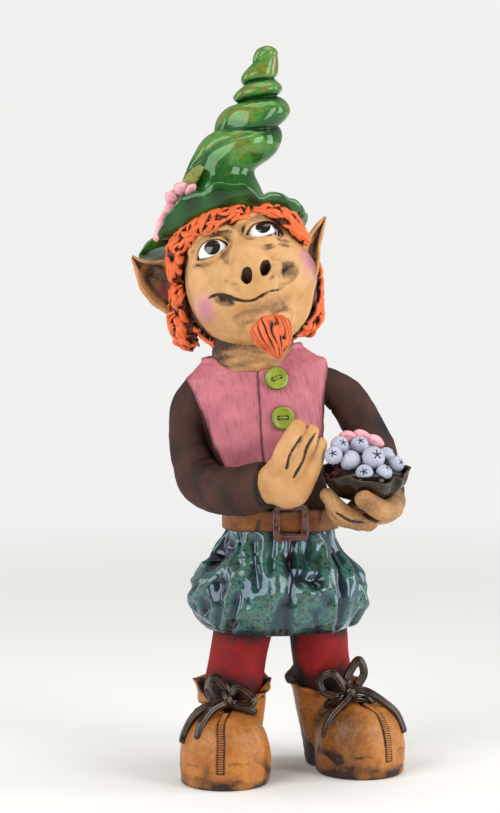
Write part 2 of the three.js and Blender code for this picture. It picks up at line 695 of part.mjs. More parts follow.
// Head: a skull with nose and lips, an eyeball in each socket and a pointed ear on each side
const EYES = [
  { side: "right", middle: v(-13.8, -21, 13) },
  { side: "left", middle: v(13.2, -21, 15) },
];
function eyeball(eye, extra = 0) {
  return ball(eye.middle, EYEBALL_RADII, { around: 12, rings: 7, extra });
}
function skull(extra = 0) {
  return union([
    ball(v(0, 0, 0), HEAD_RADII, { around: 18, rings: 11, extra }),
    ball(v(3, -32, -6.5), v(10, 12, 9), { around: 10, rings: 7, extra }),
    ball(v(-7.5, -29.5, -10), v(5.2, 6, 4.6), { around: 6, rings: 5, extra }),
    ball(v(14, -29, -8), v(5.2, 6, 4.6), { around: 6, rings: 5, extra }),
    roll([v(-0.5, -27.5, 13), v(1.5, -31, 3)], [4, 6.5], { sides: 6, steps: 1, extra }),
    ball(v(2.5, -19, -33), v(11, 8, 6), { around: 8, rings: 6, extra }),
  ]);
}
function lips(extra = 0) {
  const upper = [v(-19, -23.4, -12.4), v(-10, -26.4, -17.2), v(-1, -27, -20), v(11, -25.6, -19)];
  const lower = [v(-15, -22.6, -19), v(-5, -24.6, -24.6), v(4, -24.8, -24.6), v(10, -23.8, -22.4)];
  const radii = [1.6, 2.6, 2.8, 1.6];
  return union([upper, lower].map((line) => roll(line, radii, { sides: 5, steps: 4, extra })));
}
function nostrils() {
  return union([
    ball(v(-1, -40, -13), NOSTRIL_RADII, { around: 8, rings: 6 }),
    ball(v(9, -39.5, -11.5), NOSTRIL_RADII, { around: 8, rings: 6 }),
  ]);
}

// An ear is a pointed leaf of clay, hollowed like a spoon on its front. Its profile is the share of the
// length and the share of the width.
const EAR_PROFILE = [
  [0, 0.42],
  [0.14, 0.8],
  [0.36, 1],
  [0.58, 0.88],
  [0.8, 0.5],
  [1, 0.08],
];
const EARS = [
  {
    side: "right",
    foot: v(-43.5, 4.5, -3.5),
    tilt: new THREE.Euler(0.18, -0.3, 0.1, "ZYX"),
    spin: 0,
  },
  {
    side: "left",
    foot: v(35, 10, -9.5),
    tilt: new THREE.Euler(0, 0.56, -0.72, "ZYX"),
    spin: 1.4,
  },
];
function ear(one, extra = 0) {
  const frame = new THREE.Matrix4().makeRotationFromEuler(one.tilt);
  frame.multiply(new THREE.Matrix4().makeRotationZ(one.spin)).setPosition(one.foot);
  const leafOf = (grow) => {
    const levels = EAR_PROFILE.map(([height, width]) => {
      const sweep = 3 * Math.sin(Math.PI * height);
      const halfThickness = EAR_HALF_THICKNESS * (0.3 + 0.7 * width);
      return [EAR_LENGTH * height, sweep, 0, EAR_HALF_WIDTH * width, halfThickness];
    });
    return stack(levels, { sides: 12, rings: 5, extra: grow });
  };
  if (extra) return moved(leafOf(extra), frame);
  const outline = EAR_PROFILE.slice(1, -1).map(([height, width]) => {
    const inner = EAR_HALF_WIDTH * width - EAR_WALL;
    return [EAR_LENGTH * height, 3 * Math.sin(Math.PI * height), -EAR_HALF_THICKNESS, inner, 5];
  });
  const spoon = stack(outline, { sides: 8, rings: 3 });
  return moved(leafOf(0).subtract(spoon), frame);
}

// Hair and beard: rolls of clay that follow the brow, cheeks and nape
const HAIR = {
  right_fringe: (extra = 0) =>
    roll(
      [
        v(8.5, -25, 29), v(-4, -27, 27.5), v(-15, -23, 27.5),
        v(-25, -16.5, 27), v(-33, -9, 22), v(-37, -7, 10),
      ],
      [3, 5, 6, 5.5, 5, 3],
      { sides: 8, steps: 8, extra },
    ),
  left_fringe: (extra = 0) =>
    roll(
      [v(12.5, -24.5, 28), v(20, -22, 25.5), v(27, -19, 20), v(32, -16, 12.5), v(34, -15, 6)],
      [2.6, 3.6, 4.4, 4, 2.6],
      { sides: 8, steps: 6, extra },
    ),
  right_lock: (extra = 0) =>
    roll(
      [v(-37, -2, 7), v(-39.5, 2, 0), v(-41, 7, -8), v(-40, 12, -16), v(-38.5, 15, -22)],
      [2.4, 4, 6, 7.5, 5.5],
      { sides: 8, steps: 6, extra },
    ),
  left_lock: (extra = 0) =>
    roll(
      [v(35.5, 13, -1), v(34.5, 17, -11), v(31, 20, -19), v(27, 21.5, -25), v(20, 22, -28)],
      [2.6, 4.4, 5.4, 5.4, 4],
      { sides: 8, steps: 6, extra },
    ),
  nape_hair: (extra = 0) => {
    const shell = ball(v(0, 3.5, 0), v(37.5, 34, 38), { around: 16, rings: 9, extra });
    return shell.intersect(block(v(-60, 6 - extra, -31 - extra), v(60, 60, 27 + extra)));
  },
};
function beard() {
  return roll(
    [v(3.6, -23, -31), v(3.4, -27, -38), v(3, -25.5, -46), v(2.5, -21.6, -54)],
    [8, 9.6, 7.6, 1.6],
    { sides: 16, steps: 5, flat: 0.62, ribs: 8, groove: 0.12 },
  );
}

// Hat: a ragged brim, and a cone that one ridge winds round to the tip.
// The brim's edge, from the figure's right round its front: the angle in degrees, the radius, the
// height of the edge and the height of the bend inside it.
const BRIM_MIDDLE = v(-1, 1.5, 0);
const BRIM_EDGE = [
  [-180, 53, 29, 29],
  [-166, 47.5, 31.5, 30],
  [-153, 44, 31.5, 30],
  [-138, 42, 38, 30],
  [-122, 42, 41, 30.5],
  [-108, 41.5, 40, 30.5],
  [-96, 42, 41.5, 30.5],
  [-84, 41.5, 40, 30.5],
  [-74, 41.5, 36.5, 30],
  [-64, 39, 30.5, 28],
  [-54, 40, 33.5, 28],
  [-42, 42, 31, 26],
  [-28, 42, 28, 24],
  [-12, 41, 24, 22],
  [10, 40.5, 24, 23],
  [40, 42, 27, 25],
  [75, 42, 26.5, 26],
  [110, 43.5, 29, 26.5],
  [145, 43, 28, 27],
  [165, 47, 28, 28],
];
function brim(extra = 0) {
  const sections = BRIM_EDGE.map(([degrees, radius, height, bend]) => {
    const angle = THREE.MathUtils.degToRad(degrees);
    const at = (r, z) => v(r * Math.cos(angle), r * Math.sin(angle), z).add(BRIM_MIDDLE);
    const inner = BRIM_INNER_RADIUS - extra;
    const rise = 5;
    return [
      at(inner, bend + rise - extra),
      at(BRIM_BEND_RADIUS, bend - extra),
      at(radius + extra, height - BRIM_THICKNESS / 2 - extra),
      at(radius + extra, height + BRIM_THICKNESS / 2 + extra),
      at(BRIM_BEND_RADIUS, bend + BRIM_THICKNESS + extra),
      at(inner, bend + rise + BRIM_THICKNESS + extra),
    ];
  });
  return skin(sections, true);
}

// The cone from brim to tip, in the figure's frame: its axis, its radius, how far its ridge stands out
// and how many turns the ridge has left to go. The ridge is on the figure's left where that is whole.
const CONE_AXIS = new THREE.CatmullRomCurve3([
  v(-21, 8, 288),
  v(-25, 11, 301),
  v(-27.5, 11, 314),
  v(-24, 10.5, 328),
  v(-15, 12, 342),
  v(-7, 16, 358),
  v(-6.5, 18, 373),
  v(-2.4, 18, 388),
]);
const CONE_RADII = [26, 25, 22.3, 17.8, 16.8, 13.4, 8.6, 5.2];
const CONE_RIDGES = [0, 0.1, 0.3, 1.3, 2.4, 3.4, 2.1, 0.1];
const CONE_TURNS = [5.6, 5, 4.3, 3.6, 2.95, 2.12, 0.75, -0.9];
const CONE_SLACK = 0.5; // how far its rounds lie level instead of square to the leaning axis
function cone(extra = 0) {
  const steps = 30;
  const sides = 14;
  const sections = [];
  for (let step = 0; step <= steps + 1; step++) {
    const tip = step > steps;
    const t = tip ? 1 : 1 - (1 - step / steps) ** 1.4;
    const axis = CONE_AXIS.getTangent(t).lerp(v(0, 0, 1), CONE_SLACK).normalize();
    const across = v(1, 0, 0).addScaledVector(axis, -axis.x).normalize();
    const away = axis.clone().cross(across);
    const centre = CONE_AXIS.getPoint(t).addScaledVector(axis, tip ? 3.8 : 0);
    const points = [];
    for (let side = 0; side < sides; side++) {
      const angle = (2 * Math.PI * side) / sides;
      const ridge = smooth(CONE_RIDGES, t) * Math.cos(angle + 2 * Math.PI * smooth(CONE_TURNS, t));
      const radius = (tip ? 0.5 : 1) * (smooth(CONE_RADII, t) + ridge) + extra;
      const point = centre.clone().addScaledVector(across, radius * Math.cos(angle));
      points.push(point.addScaledVector(away, radius * Math.sin(angle)));
    }
    sections.push(points);
  }
  return skin(sections);
}
function leaf(extra = 0) {
  const turn = new THREE.Euler(-0.4, -0.55, -0.85, "ZYX");
  return ball(v(-42.5, -4, 321.5), v(10.5, 1.9, 6), { turn, extra });
}
function upperBlossom(extra = 0) {
  const petal = { around: 6, rings: 5, extra };
  return union([
    ball(v(-48.5, -9, 315.5), v(3.8, 3.4, 3.8), petal),
    ball(v(-53, -8, 311), v(3.8, 3.4, 3.8), petal),
    ball(v(-53.5, -7, 305.5), v(3.4, 3.2, 3.4), petal),
    ball(v(-43, -11, 315.2), v(3.8, 2.6, 2.4), { ...petal, turn: new THREE.Euler(0, -0.8, 0) }),
  ]);
}
function lowerBlossom() {
  const line = [v(-55.5, -6, 303), v(-59.2, -5, 295.5), v(-61.5, -4, 289)];
  return roll(line, [2.4, 2.7, 1.6], { sides: 6, steps: 3 });
}

const sockets = EYES.map((eye) => eyeball(eye, JOIN_GAP));
place(head, "head", FINISH.skin, union([skull(), lips()]), [nostrils(), ...sockets]);
for (const eye of EYES) {
  place(head, `${eye.side}_eye`, FINISH.eye, eyeball(eye));
}
const skullKept = skull(JOIN_GAP);
place(standing, "neck", FINISH.skin, neck(), [moved(skullKept, headFrame)]);
for (const one of EARS) {
  place(head, `${one.side}_ear`, FINISH.skin, ear(one), [skullKept]);
}
const headKept = [
  skullKept,
  ...EARS.map((one) => ear(one, JOIN_GAP)),
  ...sockets,
  moved(union([neck(JOIN_GAP), bodyKept]), toHead),
];
const hairKept = [];
for (const [name, lump] of Object.entries(HAIR)) {
  place(head, name, FINISH.hair, lump(), [...headKept, ...hairKept]);
  hairKept.push(lump(JOIN_GAP));
}
place(head, "beard", FINISH.hair, beard(), [skullKept, lips(JOIN_GAP), moved(neck(JOIN_GAP), toHead)]);
place(head, "hat_brim", FINISH.hat, brim(), [...headKept, ...hairKept]);
const brimKept = moved(brim(JOIN_GAP), headFrame);
const insideBrim = block(v(-80, -80, -10), v(80, 80, CONE_FOOT));
const underCone = moved(union([skullKept, insideBrim]), headFrame);
place(standing, "hat_cone", FINISH.hat, cone(), [underCone, brimKept]);
const hatKept = [cone(JOIN_GAP), brimKept];
place(standing, "hat_leaf", FINISH.leaf, leaf(), hatKept);
place(standing, "upper_blossom", FINISH.blossom, upperBlossom(), [...hatKept, leaf(JOIN_GAP)]);
place(standing, "lower_blossom", FINISH.blossom, lowerBlossom(), [...hatKept, upperBlossom(JOIN_GAP)]);

export default figure;
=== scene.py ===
# A hand-built pottery gnome, about 39 cm tall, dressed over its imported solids.
# Lengths are millimetres in the figure's own frame, and each piece is turned to metres as it is made.
# The figure's own right side is at -X, which is the viewer's left.
import math
import bpy
import numpy as np
from mathutils import Euler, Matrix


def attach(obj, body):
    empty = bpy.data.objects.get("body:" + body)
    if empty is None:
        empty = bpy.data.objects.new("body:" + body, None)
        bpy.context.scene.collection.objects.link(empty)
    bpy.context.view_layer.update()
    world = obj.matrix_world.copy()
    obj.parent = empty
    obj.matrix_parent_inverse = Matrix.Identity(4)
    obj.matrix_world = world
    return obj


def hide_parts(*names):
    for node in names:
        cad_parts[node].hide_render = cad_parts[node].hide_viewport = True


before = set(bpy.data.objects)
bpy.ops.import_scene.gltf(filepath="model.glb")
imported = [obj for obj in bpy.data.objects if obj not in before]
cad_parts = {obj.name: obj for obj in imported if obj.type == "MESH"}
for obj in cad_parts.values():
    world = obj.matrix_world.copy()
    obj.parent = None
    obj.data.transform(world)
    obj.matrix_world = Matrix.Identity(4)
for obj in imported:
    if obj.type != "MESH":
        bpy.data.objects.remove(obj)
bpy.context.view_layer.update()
scene = bpy.context.scene
scene.view_settings.view_transform = "Standard"

# Camera
# It stands 1.3 m in front of the figure, a little above its shoulders, and looks down by 5 degrees.
# The focal length in pixels was worked out from the sizes of the head and the shoes.
MM = 0.001
FIGURE_SHIFT = np.array([-0.5, 5.5, 0.0])  # centres the figure's outline on the frame's origin
IMAGE_HEIGHT_PX = 813
FOCAL_LENGTH_PX = 2435
SENSOR_HEIGHT = 24.0
CAMERA_PLACE = np.array([-11.8, -1300.0, 313.0])
CAMERA_TILT = math.radians(85)

lens = bpy.data.cameras.new("camera")
lens.sensor_fit = "VERTICAL"
lens.sensor_height = SENSOR_HEIGHT
lens.lens = SENSOR_HEIGHT * FOCAL_LENGTH_PX / IMAGE_HEIGHT_PX
camera = bpy.data.objects.new("camera", lens)
camera.location = (CAMERA_PLACE + FIGURE_SHIFT) * MM
camera.rotation_euler = (CAMERA_TILT, 0, 0)
scene.collection.objects.link(camera)
scene.camera = camera

# Floor and lamps
# A pale matt floor that fades into a pale room, with window-like lamps in front and at both sides, one
# overhead and an even light from the room.
FLOOR_RADIUS = 4000.0
FLOOR_SIDES = 64
FLOOR_FADE = (0.25, 1.1)  # metres from the middle, where the floor turns into the room's pale colour
ROOM_COLOUR = "#f1f1ef"
FLOOR_COLOUR = "#f4f3f0"
ROOM_LIGHT = 0.36
LAMP_AIM = np.array([0, 0, 200])
LAMPS = [
    # name, place, width and height in mm, watts
    ("left_window", (-850, -850, 820), 900, 1000, 11.8),
    ("right_window", (950, -700, 560), 560, 900, 8.5),
    ("side_window", (1150, 60, 420), 420, 1000, 6.0),
    ("back_window", (-1150, 200, 450), 400, 900, 3.5),
    ("overhead", (100, 100, 1300), 800, 800, 4.5),
]


def linear(hex_colour):
    """An sRGB hex colour as the linear values that nodes take."""
    channels = [int(hex_colour[i : i + 2], 16) / 255 for i in (1, 3, 5)]
    return [c / 12.92 if c <= 0.04045 else ((c + 0.055) / 1.055) ** 2.4 for c in channels] + [1.0]


def add(tree, kind, inputs=None, **settings):
    """Adds one node. An input takes a value, a node, or a pair of a node and its output's name."""
    node = tree.nodes.new(kind)
    for name, value in settings.items():
        setattr(node, name, value)
    for key, value in (inputs or {}).items():
        if isinstance(key, int):
            socket = node.inputs[key]
        else:
            socket = next(s for s in node.inputs if s.enabled and s.name == key)
        if isinstance(value, bpy.types.Node):
            tree.links.new(next(o for o in value.outputs if o.enabled), socket)
        elif isinstance(value, tuple) and isinstance(value[0], bpy.types.Node):
            tree.links.new(value[0].outputs[value[1]], socket)
        else:
            socket.default_value = value
    return node


def maths(tree, operation, *values):
    """A node that reckons with numbers, nodes or their outputs."""
    return add(tree, "ShaderNodeMath", dict(enumerate(values)), operation=operation)


def remap(tree, value, low, high, top=1.0, shape="LINEAR"):
    """How far a value lies between low and high, as a share of the top."""
    inputs = {"Value": value, "From Min": low, "From Max": high, "To Max": top}
    return add(tree, "ShaderNodeMapRange", inputs, interpolation_type=shape)


def empty_tree(block):
    """The cleared nodes tree of a material or a room."""
    block.use_nodes = True
    block.node_tree.nodes.clear()
    return block.node_tree


def around(count):
    """Directions evenly spaced round one full turn."""
    return np.linspace(0, 2 * math.pi, count, endpoint=False)


room = bpy.data.worlds.new("pale_room")
tree = empty_tree(room)
seen = add(tree, "ShaderNodeLightPath")
direct = maths(tree, "MAXIMUM", (seen, "Is Camera Ray"), (seen, "Is Transmission Ray"))
light = add(tree, "ShaderNodeBackground", {"Color": linear(ROOM_COLOUR), "Strength": ROOM_LIGHT})
shown = add(tree, "ShaderNodeBackground", {"Color": linear(ROOM_COLOUR), "Strength": 1.0})
both = add(tree, "ShaderNodeMixShader", {"Fac": direct, 1: light, 2: shown})
add(tree, "ShaderNodeOutputWorld", {"Surface": both})
scene.world = room

paint = bpy.data.materials.new("pale_floor")
tree = empty_tree(paint)
away = add(tree, "ShaderNodeVectorMath", {0: (add(tree, "ShaderNodeTexCoord"), "Object")}, operation="LENGTH")
fade = remap(tree, (away, "Value"), *FLOOR_FADE, shape="SMOOTHSTEP")
matt = add(tree, "ShaderNodeBsdfPrincipled", {"Base Color": linear(FLOOR_COLOUR), "Roughness": 0.9})
pale = add(tree, "ShaderNodeEmission", {"Color": linear(ROOM_COLOUR), "Strength": 1.0})
both = add(tree, "ShaderNodeMixShader", {"Fac": fade, 1: matt, 2: pale})
add(tree, "ShaderNodeOutputMaterial", {"Surface": both})
edge = [(FLOOR_RADIUS * MM * math.cos(a), FLOOR_RADIUS * MM * math.sin(a), 0.0) for a in around(FLOOR_SIDES)]
ground = bpy.data.meshes.new("floor")
ground.from_pydata(edge, [], [list(range(len(edge)))])
ground.materials.append(paint)
floor = bpy.data.objects.new("floor", ground)
scene.collection.objects.link(floor)

for name, place, width, height, watts in LAMPS:
    softbox = bpy.data.lights.new(name, "AREA")
    softbox.shape = "RECTANGLE"
    softbox.size = width * MM
    softbox.size_y = height * MM
    softbox.energy = watts
    lamp = bpy.data.objects.new(name, softbox)
    lamp.location = np.array(place) * MM
    aim = LAMP_AIM - np.array(place)
    pitch = math.atan2(math.hypot(aim[0], aim[1]), -aim[2])
    lamp.rotation_euler = (pitch, 0, math.atan2(-aim[0], aim[1]))
    scene.collection.objects.link(lamp)

# Stockings
# Two thick coils of stoneware that stand in the shoes and carry the body. They are brushed with matt red
# underglaze, and painted shade darkens them under the breeches, above the cuffs and on the left leg's inner
# side.
SHOE_FEET = {
    # ankle, turn of the toe in degrees, lean of the shaft, place of the leg under the breeches, how far the
    # pressed strip lies to the side, and how much painted shade darkens the shoe's inner side
    "right": {"ankle": (-20, 3), "turn": -12, "lean": (-1.5, -1), "hip": (-14.6, 0, 84), "strip": 2.8,
              "shade": 0.0},
    "left": {"ankle": (33.5, 23), "turn": 37, "lean": (-4.5, -1.5), "hip": (24.3, 11, 84), "strip": 0.0,
             "shade": 0.45},
}
SHAFT_HEIGHT = 45.0
SHAFT_TOP_RADIUS = 18.5
STOCKING_RADIUS = 16.2
STOCKING_SOCKET = 4.0
STOCKING_ROWS = 60
STOCKING_SIDES = 96
UNDERGLAZE_RED = "#920f14"
STAIN_AND_SHADE_BROWN = "#2e1a10"


def lumpiness(points, size, seed, waves=10):
    """An even, hand-smoothed unevenness between about -1 and 1, with lumps of the given size."""
    chance = np.random.default_rng(seed)
    directions = unit(chance.normal(size=(waves, 3)))
    lengths = size * chance.uniform(1.2, 3.0, waves)
    phases = chance.uniform(0, 2 * math.pi, waves)
    swing = [np.sin(2 * math.pi * (points @ d) / l + p) for d, l, p in zip(directions, lengths, phases)]
    return np.sum(swing, axis=0) * 0.9 / math.sqrt(waves)


def uneven(points, amount, size, seed, share=1.0):
    """Moves points a little in every direction, in lumps of the given size."""
    return points + amount * np.stack([lumpiness(points, size, seed + k) for k in range(3)], axis=1) * share


def dented(points, outward, *dents):
    """Moves points in and out by dents, each an amount, a size and a seed."""
    reach = sum(amount * lumpiness(points, size, seed) for amount, size, seed in dents)
    return points + outward * reach[:, None]


def clamp(values, low=0.0, high=1.0):
    """The values, kept between low and high."""
    return np.clip(values, low, high)


def ease(values, low, high):
    """0 below low, 1 above high, and a smooth step between."""
    t = clamp((values - low) / (high - low))
    return t * t * (3 - 2 * t)


def bell(values, width, power=2):
    """1 at 0, falling away on both sides of it."""
    return np.exp(-((values / width) ** power))


def unit(directions):
    """The same direction, or rows of them, at length 1."""
    if directions.ndim == 1:
        return directions / np.linalg.norm(directions)
    return directions / np.linalg.norm(directions, axis=1)[:, None]


def along(values, t):
    """Smooth values between the entries of an evenly spaced list, for each t from 0 to 1."""
    values = np.asarray(values, float)
    place = clamp(np.asarray(t, float)) * (len(values) - 1)
    i = np.minimum(place.astype(int), len(values) - 2)
    f = (place - i).reshape(place.shape + (1,) * (values.ndim - 1))
    first = np.vstack([2 * values[:1] - values[1:2], values]) if values.ndim > 1 else \
        np.concatenate([2 * values[:1] - values[1:2], values])
    last = 2 * values[-1:] - values[-2:-1]
    padded = np.concatenate([first, last])
    p0, p1, p2, p3 = (padded[i + k] for k in range(4))
    return p1 + 0.5 * f * (p2 - p0 + f * (2 * p0 - 5 * p1 + 4 * p2 - p3 + f * (3 * p1 - p0 - 3 * p2 + p3)))


def spread(values, count):
    """The given number of smooth values along a list, from its first to its last."""
    return along(values, np.linspace(0, 1, count))


def round_wall(wide, deep, height, angle, middle=(0, 0)):
    """Rings of points, from how wide, deep and high they are at each angle round their middle."""
    x, y = middle[0] + wide * np.cos(angle), middle[1] + deep * np.sin(angle)
    return np.stack(np.broadcast_arrays(x, y, height), -1)


def loft(rings, looped=False):
    """Points and faces over rings of points. Open ends are closed on their middles."""
    rings = np.asarray(rings, float)
    count, sides = rings.shape[:2]
    index = np.arange(count * sides).reshape(count, sides)
    low = index if looped else index[:-1]
    high = np.roll(index, -1, axis=0) if looped else index[1:]
    quads = np.stack([low, np.roll(low, -1, 1), np.roll(high, -1, 1), high], -1).reshape(-1, 4)
    points = rings.reshape(-1, 3)
    faces = quads.tolist()
    if looped:
        return points, faces
    for ring, turned in ((index[0], True), (index[-1], False)):
        hub = len(points)
        points = np.vstack([points, points[ring].mean(0)])
        for a, b in zip(ring.tolist(), np.roll(ring, -1).tolist()):
            faces.append([hub, b, a] if turned else [hub, a, b])
    return points, faces


def set_marks(mesh, marks):
    """Gives a mesh's points a number or a direction each, under the marks' names."""
    for name, values in marks.items():
        values = np.ascontiguousarray(values, np.float32)
        kind, field = ("FLOAT", "value") if values.ndim == 1 else ("FLOAT_VECTOR", "vector")
        mesh.attributes.new(name, kind, "POINT").data.foreach_set(field, values.ravel())


def raw_mesh(name, points, edges=(), faces=()):
    """A mesh in metres from points in the figure's own millimetres."""
    mesh = bpy.data.meshes.new(name)
    mesh.from_pydata(((np.asarray(points) + FIGURE_SHIFT) * MM).tolist(), edges, faces)
    return mesh


def piece(name, shape, material, slot, node, **marks):
    """One piece of the figure that takes the place of a CAD node. Its shape is points and faces, or a
    mesh that a nodes tree has made. Marks are numbers at its points."""
    mesh = shape
    if not isinstance(shape, bpy.types.Mesh):
        mesh = raw_mesh(name, shape[0], faces=shape[1])
        mesh.materials.append(material)
    mesh.shade_smooth()
    set_marks(mesh, marks)
    thing = bpy.data.objects.new(name, mesh)
    scene.collection.objects.link(thing)
    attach(thing, "root")
    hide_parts(node)


def noise(tree, place, size, detail, **more):
    """Noise in lumps of the given size in millimetres."""
    inputs = {"Vector": place, "Scale": 1 / (size * MM), "Detail": detail, **more}
    return add(tree, "ShaderNodeTexNoise", inputs)


def blend(tree, share, first, second):
    """One colour that turns into another. Each is a hex colour or a node."""
    first, second = (linear(c) if isinstance(c, str) else c for c in (first, second))
    return add(tree, "ShaderNodeMix", {"Factor": share, "A": first, "B": second}, data_type="RGBA")


def mark(tree, name):
    """The numbers that a piece's points carry under a name."""
    return add(tree, "ShaderNodeAttribute", attribute_name=name), "Fac"


def new_material(name):
    """An empty material, its tree, and the place on the figure that its looks depend on."""
    material = bpy.data.materials.new(name)
    tree = empty_tree(material)
    return material, tree, (add(tree, "ShaderNodeTexCoord"), "Object")


def end_material(tree, inputs):
    """Ends a material's tree with one surface."""
    add(tree, "ShaderNodeOutputMaterial", {"Surface": add(tree, "ShaderNodeBsdfPrincipled", inputs)})


def fired_clay(name, colour, worn, stain_and_shade=STAIN_AND_SHADE_BROWN, mottle=14.0, grain=0.5, roughness=0.62,
               bump=0.12, stain_and_shade_share=1.0, brushed=None, blush=None):
    """Matt fired clay: underglaze colour over a worn second tone, with stain rubbed into its hollows and
    painted shade laid where its mark says. Its points carry a mark that says how deep they lie in a hollow
    and how much painted shade darkens them, and a blush mark where it is tinted."""
    material, tree, place = new_material(name)
    stroke = add(tree, "ShaderNodeMapping", {"Vector": place, "Scale": brushed}) if brushed else place
    wide = noise(tree, place, mottle, 4.0, Roughness=0.6)
    fine = noise(tree, stroke, grain * 4, 5.0, Roughness=0.65)
    tones = blend(tree, remap(tree, wide, 0.36, 0.68), colour, worn)
    if blush:
        tones = blend(tree, mark(tree, "blush"), tones, blush)
    rubbed = maths(tree, "MULTIPLY_ADD", fine, 0.9, -0.45)
    deep = maths(tree, "ADD", mark(tree, "wash"), rubbed)
    stained_and_shaded = blend(tree, remap(tree, deep, 0.12, 0.95, stain_and_shade_share), tones, stain_and_shade)
    relief = add(tree, "ShaderNodeBump", {"Strength": bump, "Distance": 0.5 * MM, "Height": fine})
    end_material(tree, {"Base Color": stained_and_shaded, "Roughness": roughness, "Specular IOR Level": 0.35,
                        "Normal": relief})
    return material


red_stocking = fired_clay("red_underglaze_clay", UNDERGLAZE_RED, "#700d10", stain_and_shade="#1d1014", mottle=16,
                          roughness=0.75)
for side, foot in SHOE_FEET.items():
    mouth = np.array([foot["ankle"][0] + foot["lean"][0], foot["ankle"][1] + foot["lean"][1], SHAFT_HEIGHT])
    hip = np.array(foot["hip"], float)
    below = mouth - (hip - mouth) * STOCKING_SOCKET / (hip[2] - mouth[2])
    share = np.linspace(0, 1, STOCKING_ROWS)[:, None, None]
    middle = below + (hip - below) * share
    radius = STOCKING_RADIUS - 0.5 * np.sin(math.pi * share)
    points, faces = loft(middle + radius * round_wall(1, 0.96, 0, around(STOCKING_SIDES)))
    outward = points - np.vstack([middle.reshape(-1, 3).repeat(STOCKING_SIDES, axis=0), below, hip])
    outward /= np.maximum(np.linalg.norm(outward, axis=1), 1)[:, None]
    points = dented(points, outward, (0.25, 12, 3))
    height = points[:, 2]
    # Painted shade above the cuffs and under the breeches, over a little mottling.
    wash = 0.95 * (1 - ease(height, 47, 62)) + 0.75 * ease(height, 68, 79) + 0.25 * lumpiness(points, 14, 5)
    # Painted shade on the left leg's inner side, which faces the gap between the legs.
    if side == "left":
        wash += 0.75 * ease(-outward[:, 0], 0.6, 0.95)
    piece(f"{side}_stocking_coil", (points, faces), red_stocking, "stocking", f"{side}_stocking",
          wash=clamp(wash))

# Shoes
# Each is a pinched pot for the toe, luted to a slab shaft that flares upwards. A strip pressed with a
# toothed wheel runs down the toe. Thin tan glaze breaks over dark stain near the sole.
TOE_HALF_WIDTH = 24.2
TOE_HALF_LENGTH = 24.5
TOE_HEIGHT = 38.0
TOE_REACH = 24.0
TOE_TUCK = -0.38  # how steeply the toe's side tucks in under it at the sole
SHAFT_FOOT_RADIUS = 14.5
MOUTH_SLOPE = 0.26  # the shaft's mouth is lower towards the toe
SHOE_GRAIN = 0.55
STRIP_HALF_WIDTH = 1.85
WHEEL_PITCH = 1.25


